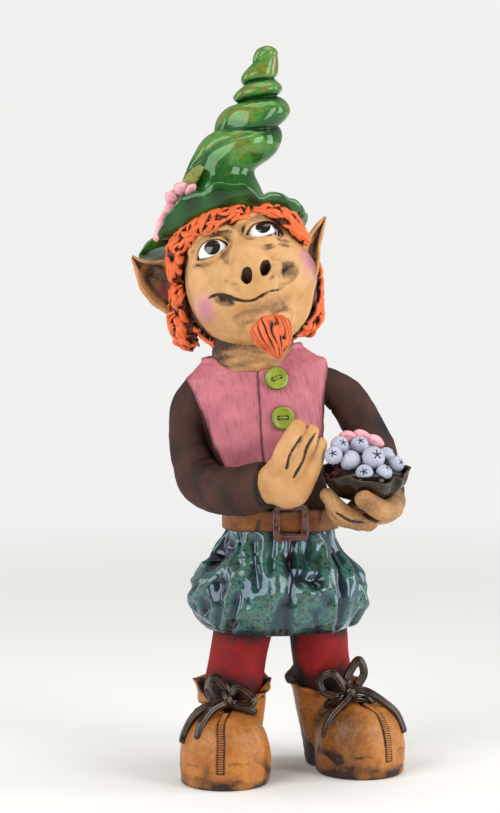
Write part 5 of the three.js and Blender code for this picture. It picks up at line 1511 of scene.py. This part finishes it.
PRESSED = [
    # places across and up the plain skull, radii along the cut, how soft its edges are
    ([(-24.0, -10.7), (-20.3, -11.2), (-16, -13.6), (-11, -17.4), (-6.5, -19.8), (-2, -20.6), (3, -19.4)],
     [0.3, 0.6, 0.8, 0.7, 0.5, 0.5, 0.45], 0.9),
    ([(-21, -13.5), (-17, -16.0), (-13.5, -18.4)], [0.8, 1.5, 0.7], 2.2),
    ([(1, -20.0), (5, -18.9), (8.5, -18.4), (12, -18.6)], [0.5, 0.5, 0.45, 0.3], 0.8),
    ([(20.8, -8.6), (19.2, -11.0), (16.4, -14.0), (13.2, -17.6)], [3.3, 3.5, 1.8, 0.5], 3.2),
    ([(22.0, -6.6), (18.4, -7.4), (16.6, -11.0)], [0.5, 0.9, 0.4], 2.0),
    ([(-13.0, -6.8), (-11.2, -9.4), (-7.8, -10.8)], [0.4, 0.8, 0.3], 1.2),
    ([(-10.2, 7.5), (-9.8, 3.0)], [0.9, 0.5], 2.6),
    ([(10.4, -11.8), (8.2, -12.8)], [0.5, 0.3], 1.1),
    ([(-13.0, -26.0), (0, -28.0), (11, -26.5)], [0.6, 1.3, 0.6], 4.0),
    ([(20, 9.4), (24.5, 7.6)], [0.6, 0.9], 1.0),
    ([(19.5, 5.6), (23.5, 4.8)], [0.6, 0.8], 1.0),
    ([(-3.5, 19.5), (-9.5, 21.0), (-14, 21.6)], [0.3, 0.5, 0.3], 1.4),
]
holes = []
for line, radii, soft in PRESSED:
    spots = np.array([facing(face, on_skull(x, z)) for x, z in line])
    cut = strand(spots, radii, 18)
    face.work(cut, soft, press=True)
    if soft < 1:
        holes.append((cut, 0.7))
NOSTRILS = [((-2.3, -8.5), (2.75, 7.5, 1.7), 18), ((8.3, -6.6), (2.2, 7.5, 3.8), 50)]
for (x, z), radii, lean in NOSTRILS:
    spot = facing(face, on_skull(x, z)) - towards_viewer * 1.2
    holes.append((egg(spot, radii, (-20, lean, 0)), 1.6))
    face.work(holes[-1][0], 0.8, press=True)
points, faces, outward, hollow = face.skin(2.0)
stained_and_shaded = np.zeros(len(points))
for (distance, _, _), amount in holes:
    stained_and_shaded += amount * (distance(*points.T) < 0.35)
points = dented(points, outward, (0.4, 11, 161), (0.07, 2.2, 162))
front = points[:, 1] < 0
# Painted shade under the jaw, and at the face's sides beside the hair.
shade_under_jaw = ease(-points[:, 2], 24, 37) * (0.25 + 0.3 * lumpiness(points * [1, 1, 2.5], 9, 163))
sides = ease(np.abs(points[:, 0]), 28, 34) * 0.35
strokes = ease(lumpiness(points * [1.0, 1.0, 0.3], 3.2, 164), 0.5, 1.2)
SHADED_SPOTS = [
    # across and up the face, size
    (-24.5, 9, 4.5), (-22, 16, 4), (-9.2, 3, 3.2), (-6, 20, 4), (4, 12, 3.4), (20.5, 15, 3.6), (15, 4.8, 3.4),
    (22.5, 7, 3.2), (-20, -3, 5), (-8.8, -12.6, 2.6), (20, -8.5, 3.6), (17, -12, 3.4), (-15, -14, 3),
    (-11.5, 24, 5), (9, 25, 5),
]
# Painted shade in the dimple and in the pits by one corner of the mouth.
PAINTED_SHADE_PITS = [
    # across and up the face, size, amount
    (19.6, -9.8, 3.4, 0.55), (-17.6, -14.8, 2.6, 0.65), (-13.6, -17.4, 2.0, 0.5),
]


def face_spot(x, z, size, amount=1.0):
    """A soft round patch on the front of the face."""
    return amount * bell(np.hypot(points[:, 0] - x, points[:, 2] - z), size) * front


by_eyes = sum(face_spot(*spot) for spot in SHADED_SPOTS)
wash = 1.15 * clamp(hollow - 0.12) + shade_under_jaw + sides + 0.22 * by_eyes * (0.6 + 0.5 * strokes) + 0.08 * strokes
wash += 0.08 * lumpiness(points, 7, 165) + stained_and_shaded
for spot in PAINTED_SHADE_PITS:
    wash += face_spot(*spot)
blush = np.zeros(len(points))
for (x, y, z), radii in (((-26.4, -17, -14.6), (4.4, 8, 5.6)), ((30.2, -14, -6), (4, 8, 6.5))):
    far = ((points - [x, y, z]) / radii) ** 2
    blush += np.exp(-far.sum(axis=1))
piece("head_ball", (on_head(points), faces), skin_clay, "skin", "head",
      wash=clamp(wash), blush=clamp(1.7 * blush))

# Eyes
# Glossy white glazed balls set in the head's sockets, each with a round black pupil painted high up. A dark
# ring of stain lies where an eye meets its lids.
PUPIL_BLUR = 0.00012  # metres


def eye_glaze(name, pupil, radius):
    """White glaze with a black pupil and a dark ring where the eye meets the lids."""
    material, tree, place = new_material(name)
    gap = add(tree, "ShaderNodeVectorMath", {0: place, 1: tuple(pupil)}, operation="DISTANCE")
    dark = remap(tree, (gap, "Value"), radius + PUPIL_BLUR, radius - PUPIL_BLUR)
    white = blend(tree, mark(tree, "wash"), "#f6f5f2", "#20130d")
    colour = blend(tree, dark, white, "#0d0c0c")
    end_material(tree, {"Base Color": colour, "Roughness": 0.08, "Coat Weight": 0.5, "Coat Roughness": 0.03})
    return material


def ball(middle, radii, rows=60, sides=90):
    """An egg as a shape of even rows."""
    slope = np.linspace(0.02, math.pi - 0.02, rows)[::-1, None]
    return loft(round_wall(np.sin(slope), np.sin(slope), np.cos(slope), around(sides)) * radii + middle)


for side, (middle, radii, opening, half_width, upper, lower, turn, pupil, size) in EYES.items():
    points, faces = ball(middle, radii)
    edge = almond(opening, half_width, upper, lower, turn, 0)[0](*points.T)
    share = ((pupil[0] - middle[0]) / radii[0]) ** 2 + ((pupil[1] - middle[2]) / radii[2]) ** 2
    spot = np.array([pupil[0], middle[1] - radii[1] * math.sqrt(1 - share), pupil[1]])
    spot = (head_turn @ spot + HEAD_CENTRE + FIGURE_SHIFT) * MM
    piece(f"{side}_eyeball", (on_head(points), faces),
          eye_glaze(f"{side}_eye_glaze", spot, size * MM), "eye", f"{side}_eye",
          wash=ease(edge, -1.0, -0.2))

# Ears
# Thin leaves of clay pinched to a point and cupped forward, luted to the sides of the head. They are darkened
# grey inside with painted shade, with a rosy patch in the larger one.
EARS = {
    "right": {
        # root to tip along the lower and the upper edge, how deep it is cupped, middle of the rosy patch
        "lower": [(-52, 2, 246.5), (-58.5, 1.5, 250.2), (-66, 1, 256), (-70.6, 1, 262.8), (-72.6, 1, 269.4),
                  (-75.2, 3, 278.4)],
        "upper": [(-49, 4, 256), (-48.5, 5, 264), (-49.5, 6, 271.5), (-56, 6, 277.6), (-65, 6, 277.2),
                  (-74.6, 4, 279.6)],
        "cup": [3, 6.5, 8, 7.5, 5, 1.2],
        "rosy": (-56.4, 8, 261.5),
    },
    "left": {
        "lower": [(17.5, 9, 256), (22, 8, 262), (25, 7.5, 272), (25.8, 7, 283), (27, 7, 291),
                  (29.3, 7, 300.6)],
        "upper": [(14, 10, 258), (15, 5, 268), (16, 2, 279), (18.5, 2, 289), (23.2, 4, 296),
                  (28.4, 6.4, 301)],
        "cup": [1.5, 4, 5.5, 5, 3, 0.8],
        "rosy": None,
    },
}
EAR_WALL = 2.3
EAR_COLUMNS = 34
ear_clay = fired_clay("stained_ear_clay", "#cf9d68", "#b98350", stain_and_shade="#3d312d", mottle=9, roughness=0.55,
                      grain=0.4, blush="#8f4a48")
for side, ear in EARS.items():
    share = np.linspace(0, 1, 110)
    lower, upper, cup = along(ear["lower"], share), along(ear["upper"], share), along(ear["cup"], share)
    rings, hollow = [], []
    for a, b, deep in zip(lower, upper, cup):
        width = np.linalg.norm(b - a)
        wall = min(EAR_WALL, 0.35 * width + 0.3)
        t = np.linspace(0, 1, EAR_COLUMNS)
        bowed = np.sin(math.pi * t) ** 0.75
        inset = min(0.42, wall / max(width, 1) * 0.8)
        t_in = np.linspace(1 - inset, inset, EAR_COLUMNS)
        bowed_in = np.sin(math.pi * (t_in - inset) / (1 - 2 * inset + 1e-6)) ** 0.8
        back = [a + (b - a) * k + [0, deep * h + wall * 0.55, 0] for k, h in zip(t, bowed)]
        cupped = deep - 0.35 * wall
        inner = [a + (b - a) * k + [0, cupped * h - wall * 0.45, 0] for k, h in zip(t_in, bowed_in)]
        beyond = (b - a) / width * 0.3
        lip = [b + [0, wall * 0.15, 0] + beyond, b + [0, -wall * 0.35, 0]]
        lip_low = [a + [0, -wall * 0.35, 0], a + [0, wall * 0.15, 0] - beyond]
        rings.append(np.array(back + lip + inner + lip_low))
        hollow.append(np.concatenate([np.zeros(EAR_COLUMNS + 2), bowed_in, np.zeros(2)]))
    points, faces = loft(rings)
    turned_round = np.array(hollow).ravel()
    points = uneven(points, 0.22, 4, 171)
    # Painted shade in the cup of each ear.
    wash = np.concatenate([0.95 * ease(turned_round, 0.25, 0.7), [0.2, 0.2]])
    wash = wash * (0.75 + 0.25 * lumpiness(points, 3, 174)) + 0.15
    rosy = np.zeros(len(points))
    if ear["rosy"]:
        rosy = 1.3 * bell(np.linalg.norm((points - ear["rosy"]) * [1, 0.6, 1], axis=1), 5.5)
        rosy *= np.concatenate([ease(turned_round, 0.2, 0.6), [0, 0]])
    if side == "left":
        faces = [corners[::-1] for corners in faces]
    piece(f"{side}_ear_leaf", (points, faces), ear_clay, "skin", f"{side}_ear",
          wash=clamp(wash - 0.55 * rosy), blush=clamp(rosy))

# Hair
# Worms of orange clay pushed through a sieve and stuck over dark rolls on the brow, cheeks and nape. The
# gaps show purple-black stain and painted shade, and painted shade darkens the strands' lower flanks. The
# strands run through the same die tree as the laces.
HAIR_ROLLS = {
    # line and radii in the head's frame, strands, how far they swing from the roll's own direction
    "right_fringe": ([(8.5, -25, 29), (-4, -27, 27.5), (-15, -23, 27.5), (-25, -16.5, 27), (-33, -9, 22),
                      (-37, -7, 10)], [3, 5, 6, 5.5, 5, 3], 165, 40),
    "left_fringe": ([(12.5, -24.5, 28), (20, -22, 25.5), (26.5, -19.5, 20), (30.5, -17, 13.5), (32, -16, 8)],
                    [2.6, 3.6, 4.4, 3.8, 2.4], 96, 40),
    "right_lock": ([(-37, -2, 7), (-39.5, 2, 0), (-41, 7, -8), (-39.5, 12, -15), (-38, 14.5, -20)],
                   [2.4, 4, 6, 7.3, 5.4], 135, 36),
    "left_lock": ([(34, 12, -3), (32, 16, -12), (29, 19.5, -19), (25.5, 21, -25), (19, 22, -28)],
                  [2.2, 3.8, 4.6, 5, 4], 105, 38),
}
NAPE = {"middle": (0, 3.5, 0), "radii": (37.5, 34, 38), "front": 6.0, "low": -31.0, "high": 27.0}
NAPE_GRAIN = 0.9
NAPE_ROW_PITCH = 5.2
NAPE_STRAND_PITCH = 2.6
NAPE_ARC = 112  # length of the widest row
STRAND_RADIUS = 1.5
HAIR_ROWS = 70
HAIR_SIDES = 40
orange_hair = fired_clay("orange_hair_clay", "#e97440", "#d95f2c", stain_and_shade="#2a1822", mottle=5, roughness=0.5,
                         grain=0.5, bump=0.2)


def lay_strand(spot, outward, way, swing, lengths, tilt=0):
    """One worm of clay that lies over a surface, with its ends pressed in and a slight bend. Its direction
    swings from the given way."""
    lean = math.radians(chance.uniform(-swing, swing) + tilt)
    way = way * math.cos(lean) + np.cross(outward, way) * math.sin(lean)
    radius = STRAND_RADIUS * chance.uniform(0.8, 1.2)
    length = chance.uniform(*lengths)
    side = np.cross(outward, way)
    share = np.linspace(-0.5, 0.5, 9)
    bend = chance.uniform(-0.28, 0.28) * length
    lift = 0.9 * radius - 3.2 * radius * np.abs(share * 2) ** 3 * 0.5
    line = spot + way * (share * length)[:, None] + side * (bend * (4 * share**2 - 0.3))[:, None]
    line = line + outward * lift[:, None] - outward * ((share * length) ** 2 / 95)[:, None]
    widths = radius * (1 - 0.28 * np.abs(share * 2) ** 2) * (1 + 0.12 * np.sin(share * 9 + spot[2]))
    return on_head(line), widths


def mesh_points(mesh):
    """A mesh's points as rows, in metres."""
    points = np.empty(len(mesh.vertices) * 3, np.float32)
    mesh.vertices.foreach_get("co", points)
    return points.reshape(-1, 3)


def hair_piece(name, strands, node, height_over):
    """Rolls strands and paints shade on their lower flanks, by how high each point stands over what carries
    it."""
    lines, widths = zip(*strands)
    mesh = rolled(name, lines, widths, orange_hair, 2, 0.06, 12, 0.72)
    places = mesh_points(mesh) / MM - FIGURE_SHIFT
    wash = 0.95 * (1 - ease(height_over((places - HEAD_CENTRE) @ head_turn), 0.6, 2.0))
    mesh.attributes["wash"].data.foreach_set("value", np.ascontiguousarray(wash, np.float32))
    piece(name, mesh, orange_hair, "hair", node)


chance = np.random.default_rng(27)
for name, (line, radii, count, swing) in HAIR_ROLLS.items():
    rings = roll(line, [r * 0.86 for r in radii], HAIR_ROWS, HAIR_SIDES)
    points, faces = loft(rings)
    points = uneven(points, 0.5, 3, 181)
    # The dark roll under the strands shows in the gaps as stain and painted shade.
    piece(f"{name}_dark_roll", (on_head(points), faces), orange_hair, "hair", name,
          wash=0.85 + 0 * points[:, 0])
    middles = rings.mean(axis=1)
    tilt, longest = (14, 12) if "fringe" in name else (0, 10)
    strands = []
    for k in range(count):
        share = (k + chance.uniform(0.1, 0.9)) / count
        row = int(share * (HAIR_ROWS - 4)) + 2
        middle = middles[row]
        way = unit(middles[min(row + 2, HAIR_ROWS - 1)] - middles[max(row - 2, 0)])
        spot = rings[row][chance.integers(0, HAIR_SIDES)]
        reach = np.linalg.norm(spot - middle)
        outward = unit(spot - middle)
        if outward @ unit(middle) < -0.35:
            continue
        strands.append(lay_strand(middle + outward * reach, outward, way, swing, (6, longest), tilt))
    reaches = np.linalg.norm(rings - middles[:, None], axis=2).mean(axis=1)

    def over_roll(spots):
        return (np.linalg.norm(spots[:, None] - middles[None], axis=2) - reaches).min(axis=1)

    hair_piece(f"{name}_strands", strands, name, over_roll)

nape = Lump((-43, 2, -36), (43, 42, 33), NAPE_GRAIN)
nape.work(egg(NAPE["middle"], np.array(NAPE["radii"]) - 1.2), 1)
nape.work(slab(1, NAPE["front"]), 1.5, keep=True)
nape.work(slab(2, NAPE["low"] + 1), 1.5, keep=True)
nape.work(slab(2, NAPE["high"], -1), 1.5, keep=True)
nape.work(egg((0, 0, 0), np.array(HEAD_RADII) - 1.5), 0.5, press=True)
points, faces, outward, _ = nape.skin()
points = dented(points, outward, (0.6, 4, 184))
# The dark layer under the nape strands shows in the gaps as stain and painted shade.
piece("nape_dark_layer", (on_head(points), faces), orange_hair, "hair", "nape_hair",
      wash=0.85 + 0 * points[:, 0])
strands = []
middle, radii = np.array(NAPE["middle"]), np.array(NAPE["radii"])
for height in np.arange(NAPE["low"] + 2, NAPE["high"] - 1, NAPE_ROW_PITCH):
    level = math.sqrt(1 - (height / radii[2]) ** 2)
    start = math.asin(min(1, (NAPE["front"] - middle[1]) / (radii[1] * level))) + 0.02
    steps = int(level * NAPE_ARC / NAPE_STRAND_PITCH)
    for k in range(steps):
        way_round = start + (math.pi - 2 * start) * (k + chance.uniform(0, 1)) / steps
        up = height + chance.uniform(-2.4, 2.4)
        ring = math.sqrt(max(0.05, 1 - (up / radii[2]) ** 2))
        spot = middle + [radii[0] * ring * math.cos(way_round), radii[1] * ring * math.sin(way_round), up]
        outward = unit((spot - middle) / radii**2)
        down = unit(np.array([0, 0, -1.0]) + outward * outward[2])
        strands.append(lay_strand(spot, outward, down, 26, (8, 13)))


def over_nape(spots):
    return (np.linalg.norm((spots - middle) / radii, axis=1) - 1) * radii.mean() + 0.6


hair_piece("nape_strands", strands, "nape_hair", over_nape)

# Beard
# One teardrop of orange clay under the lip, cut from root to tip with the edge of a tool so that dark stain
# fills the slits.
BEARD_LINE = np.array([(2.2, -23, -31), (2.0, -27, -38), (2.2, -25.5, -46), (2.4, -21.6, -54)], float)
BEARD_RADII = [9, 11, 8.4, 1.6]
BEARD_ROWS = 170
BEARD_SIDES = 260
rings = roll(BEARD_LINE, BEARD_RADII, BEARD_ROWS, BEARD_SIDES, flat=0.62)
share = np.linspace(0, 1, BEARD_ROWS)[:, None]
angle = around(BEARD_SIDES)[None, :]
sway = 0.16 * np.sin(5 * share + 3 * angle) + 0.1 * np.sin(9 * share + 7 * angle)
valley = np.abs(np.sin(9 * (angle + sway))) ** 0.8
broken = clamp(0.8 + 0.45 * np.sin(9 * share + 9 * np.sin(5 * angle)))
cut = bell(valley, 0.58) * broken * ease(share, 0.04, 0.2) * (1 - 0.5 * ease(share, 0.9, 1))
middles = rings.mean(axis=1, keepdims=True)
rings = middles + (rings - middles) * (1 + 0.04 * valley - 0.19 * cut)[:, :, None]
points, faces = loft(rings)
points = uneven(points, 0.25, 4, 191)
wash = np.concatenate([(1.25 * cut).ravel(), [0.3, 0.3]]) + 0.08
piece("beard_teardrop", (on_head(points), faces), orange_hair, "hair", "beard", wash=clamp(wash))

# Hat brim
# A torn collar of clay round the head, turned up in front and drooping over the larger ear. It has the hat's
# glossy green glaze, which runs amber where it is thin.
BRIM_MIDDLE = np.array([-1.0, 1.5, 0.0])
BRIM_INNER_RADIUS = 22.0
BRIM_BEND_RADIUS = 33.0
BRIM_THICKNESS = 3.0
BRIM_NOMINAL_RADIUS = 42
BRIM_COLUMNS = 26
BRIM_EDGE = np.array([
    # direction in degrees, radius and height of the edge, height of the bend
    (-180, 53, 29, 29), (-166, 47.5, 31.5, 30), (-153, 44, 31.5, 30), (-138, 42, 38, 30),
    (-122, 42, 41, 30.5), (-108, 41.5, 40, 30.5), (-96, 42, 41.5, 30.5), (-84, 41.5, 40, 30.5),
    (-74, 41.5, 36.5, 30), (-64, 39, 29, 28), (-54, 40, 31, 27.5), (-42, 42, 29.5, 26), (-28, 42, 27, 24),
    (-12, 41, 24, 22),
    (10, 40.5, 24, 23), (40, 42, 27, 25), (75, 42, 26.5, 26), (110, 43.5, 29, 26.5), (145, 43, 28, 27),
    (165, 47, 28, 28),
], float)
degrees = np.linspace(-180, 180, 520, endpoint=False)
wrapped = np.vstack([BRIM_EDGE[-3:] - [360, 0, 0, 0], BRIM_EDGE, BRIM_EDGE[:3] + [360, 0, 0, 0]])
values = np.stack([np.interp(degrees, wrapped[:, 0], wrapped[:, k]) for k in (1, 2, 3)], axis=1)
kernel = np.hanning(15) / np.hanning(15).sum()
half = len(kernel) // 2
padded = [np.concatenate([column[-half:], column, column[:half]]) for column in values.T]
values = np.stack([np.convolve(column, kernel, "valid") for column in padded], axis=1)
circle = np.stack([np.cos(np.radians(degrees)), np.sin(np.radians(degrees))], axis=1)
edge = np.column_stack([circle * BRIM_NOMINAL_RADIUS, 0 * degrees])
torn = lumpiness(edge, 5.0, 201)
nicks = clamp(lumpiness(edge, 2.4, 202) - 0.7)
rings, marks = [], []
for (radius, height, bend), (cos, sin), tear, nick in zip(values, circle, torn, nicks):
    radius = radius + 0.3 * tear - 0.3 * nick
    height = height + 0.4 * tear - 0.6 * nick
    halfway = (0.5 * (BRIM_BEND_RADIUS + radius), 0.62 * bend + 0.38 * height)
    inner = [(BRIM_INNER_RADIUS, bend + 5), (BRIM_BEND_RADIUS - 3, bend + 0.6)]
    path = spread([*inner, halfway, (radius, height)], BRIM_COLUMNS)
    slope = unit(np.gradient(path, axis=0))
    normal = np.stack([-slope[:, 1], slope[:, 0]], axis=1)
    thick = BRIM_THICKNESS / 2 * np.sqrt(np.minimum(1, np.linspace(BRIM_COLUMNS, 0.4, BRIM_COLUMNS) / 4.0))
    upper, under = path + normal * thick[:, None], path - normal * thick[:, None]
    outline = np.vstack([under, upper[::-1]]) + [0, BRIM_THICKNESS / 2]
    rings.append([(r * cos, r * sin, z) for r, z in outline])
    # Painted shade on the underside; the upper side turns lighter towards the torn edge, partly where the
    # glaze breaks thin and partly as a painted highlight along the rim.
    marks.append([np.linspace(0.9, 0.45, BRIM_COLUMNS), np.linspace(-0.7, 0.15, BRIM_COLUMNS)])
points, faces = loft(np.array(rings) + BRIM_MIDDLE, looped=True)
points = uneven(points, 0.6, 9, 203)
green_hat = glaze("mottled_green_hat_glaze", "#246020", "#548c3a", "#12300f", "#1a4a1c", patch=11,
                  fleck=1.1, fleck_share=0.35, roughness=0.1, ripple=0.3, sheen="#d4f2d8", coat=0.35,
                  amber="#80702c")
piece("torn_brim", (on_head(points), faces), green_hat, "hat", "hat_brim",
      wash=np.array(marks).ravel() + 0.3 * lumpiness(points, 7, 206))

# Hat cone
# A hollow horn of clay, plain below and wound into a screw towards the tip, where the maker twisted it
# between two fingers. One tree sweeps a round section up its axis and raises the screw's ridge.
CONE_AXIS = [
    (-21, 8, 288), (-25, 11, 301), (-27.5, 11, 314), (-25.8, 10.5, 328), (-15, 12, 342), (-7, 16, 358),
    (-6.5, 18, 373), (-2.4, 18, 388),
]
CONE_RADII = [26, 25, 22.3, 17.0, 17.0, 13.4, 8.6, 5.2]
CONE_TURNS = [5.6, 5, 4.3, 3.6, 2.95, 2.12, 0.75, -0.9]
CONE_RIDGE = ([0, 0.44, 0.5, 0.56, 0.62, 0.72, 0.84, 0.92, 1.0], [0, 0, 0.7, 1.9, 2.8, 3.4, 2.5, 0.9, 0.1])
CONE_CREASE = [  # across and up, in front
    (-8, 344.6), (-15, 343.4), (-23.5, 340.3), (-30.5, 337.2), (-38.4, 331), (-46, 324),
]
CONE_SLACK = 0.5  # how far its rounds lie level instead of square to the leaning axis
TIP_EXTRA = (1.2, 0, 3.9)
CONE_ROWS = 405
CONE_SIDES = 240
TIP_ROUNDING = 4.6
share = np.linspace(0, 1, CONE_ROWS)
spots = along(CONE_AXIS, share) + np.array(TIP_EXTRA) * ease(share, 0.86, 1.0)[:, None]
tangents = unit(np.gradient(spots, axis=0))
tangents = unit(tangents * (1 - CONE_SLACK) + np.array([0, 0, CONE_SLACK]))
across = unit(np.array([1.0, 0, 0]) - tangents * tangents[:, :1])
away = np.cross(tangents, across)
from_tip = np.linalg.norm(spots - spots[-1], axis=1)
rounding = np.sqrt(clamp(1 - clamp(1 - from_tip / TIP_ROUNDING) ** 2, 0.002, 1))
horn, given = shape_tree("twisted_horn", {
    "Axis": "Geometry", "Sides": "Int", "Groove": "Float", "Clay": "Material"})
ring, spot, way = unit_ring(horn, given)
ring = store(horn, ring, "way", way)
line = add(horn, "GeometryNodeMeshToCurve", {"Mesh": (given, "Axis")})
body = add(horn, "GeometryNodeCurveToMesh", {"Curve": line, "Profile Curve": ring, "Scale": 0.01,
                                             "Fill Caps": True})
way = named(horn, "way")
phase = maths(horn, "MULTIPLY_ADD", named(horn, "turns"), 2 * math.pi, way)
coil = maths(horn, "ABSOLUTE", maths(horn, "COSINE", maths(horn, "MULTIPLY", phase, 0.5)))
coil = maths(horn, "POWER", coil, (given, "Groove"))
swell = maths(horn, "MULTIPLY_ADD", coil, 2.0, -1.0)
radius = maths(horn, "MULTIPLY_ADD", named(horn, "ridge"), swell, named(horn, "width"))
body = store(horn, body, "coil", coil)
parts = []
for direction, wave in (("across", "COSINE"), ("away", "SINE")):
    reach = maths(horn, "MULTIPLY", maths(horn, wave, way), radius)
    inputs = {0: named(horn, direction, "FLOAT_VECTOR"), "Scale": reach}
    parts.append(add(horn, "ShaderNodeVectorMath", inputs, operation="SCALE"))
there = add(horn, "ShaderNodeVectorMath", dict(enumerate(parts)), operation="ADD")
inputs = {0: there, 1: named(horn, "centre", "FLOAT_VECTOR")}
there = add(horn, "ShaderNodeVectorMath", inputs, operation="ADD")
body = add(horn, "GeometryNodeSetPosition", {"Geometry": body, "Position": there})
end_tree(horn, given, body)
mesh = raw_mesh("cone_axis", spots, [(i, i + 1) for i in range(CONE_ROWS - 1)])
set_marks(mesh, {
    "centre": (spots + FIGURE_SHIFT) * MM,
    "across": across,
    "away": away,
    "width": along(CONE_RADII, share) * rounding * MM,
    "ridge": np.interp(share, *CONE_RIDGE) * MM,
    "turns": along(CONE_TURNS, share),
})
mesh = grown(horn, mesh, {"Sides": CONE_SIDES, "Groove": 0.62, "Clay": green_hat})
points = mesh_points(mesh) / MM
coil = np.empty(len(mesh.vertices), np.float32)
mesh.attributes["coil"].data.foreach_get("value", coil)
points = uneven(points, 0.55, 10, 211)
crease = spread(CONE_CREASE, 40)
place = points - FIGURE_SHIFT
level = np.interp(place[:, 0], crease[::-1, 0], crease[::-1, 1], left=0, right=0)
above = (place[:, 2] - level) * 0.8  # the crease runs down at a slant
near = ease(place[:, 0], -50, -42) * (1 - ease(place[:, 0], -14, -8)) * (place[:, 1] < 12)
fold = (0.9 * bell(above, 0.8) - 0.8 * bell(above - 3, 2.2)) * near
axis = np.array([np.interp(place[:, 2], *np.array(CONE_AXIS)[:, [2, k]].T) for k in (0, 1)]).T
inward = axis - place[:, :2]
points[:, :2] += inward / np.linalg.norm(inward, axis=1)[:, None].clip(1) * fold[:, None]
mesh.vertices.foreach_set("co", (points * MM).astype(np.float32).ravel())
wound = ease(points[:, 2], 330, 347) * (1 - ease(points[:, 2], 380, 386))
wash = wound * (1.0 - 1.5 * coil) + 0.35 * lumpiness(points * [1, 1, 0.5], 16, 214) + 0.7 * clamp(fold)
piece("twisted_cone", mesh, green_hat, "hat", "hat_cone", wash=np.clip(wash, -1, 1.2))

# Leaf
# A flat leaf of clay pressed against the cone, scored with a lattice of lines and brushed with matt olive.
LEAF_MIDDLE = np.array([-42.5, -4.0, 321.5])
LEAF_HALF = (10.5, 1.9, 6.0)
LEAF_PITCH = 1.5
LEAF_TURN = (-0.4, -0.55, -0.85)
rows, sides = 110, 150
t = np.linspace(0.001, 0.999, rows)[:, None]
angle = around(sides)[None, :]
along_leaf = (2 * t - 1) * LEAF_HALF[0] * 1.02
half_width = LEAF_HALF[2] * np.sin(math.pi * t**0.85) ** 0.8
x = along_leaf + 0 * angle
z = half_width * np.sign(np.cos(angle)) * np.abs(np.cos(angle)) ** 0.9
y = LEAF_HALF[1] * (0.25 + 0.75 * np.sin(math.pi * t) ** 0.5) * np.sin(angle) + 0.05 * z**2 / 3
lattice = np.maximum(*(np.abs(np.sin(way * math.pi / LEAF_PITCH)) ** 8 for way in (x + z, x - z)))
y = y + 0.28 * lattice * (np.sin(angle) < -0.15)
points, faces = loft(np.stack([x, y, z], -1))
olive_leaf = fired_clay("olive_leaf_clay", "#a3a652", "#878d3e", stain_and_shade="#2b2a12", mottle=4, roughness=0.45)
wash = np.concatenate([(0.9 * lattice).ravel(), [0.3, 0.3]])
piece("scored_leaf", (turned(points, turns(*LEAF_TURN), LEAF_MIDDLE), faces), olive_leaf, "leaf", "hat_leaf",
      wash=clamp(wash))
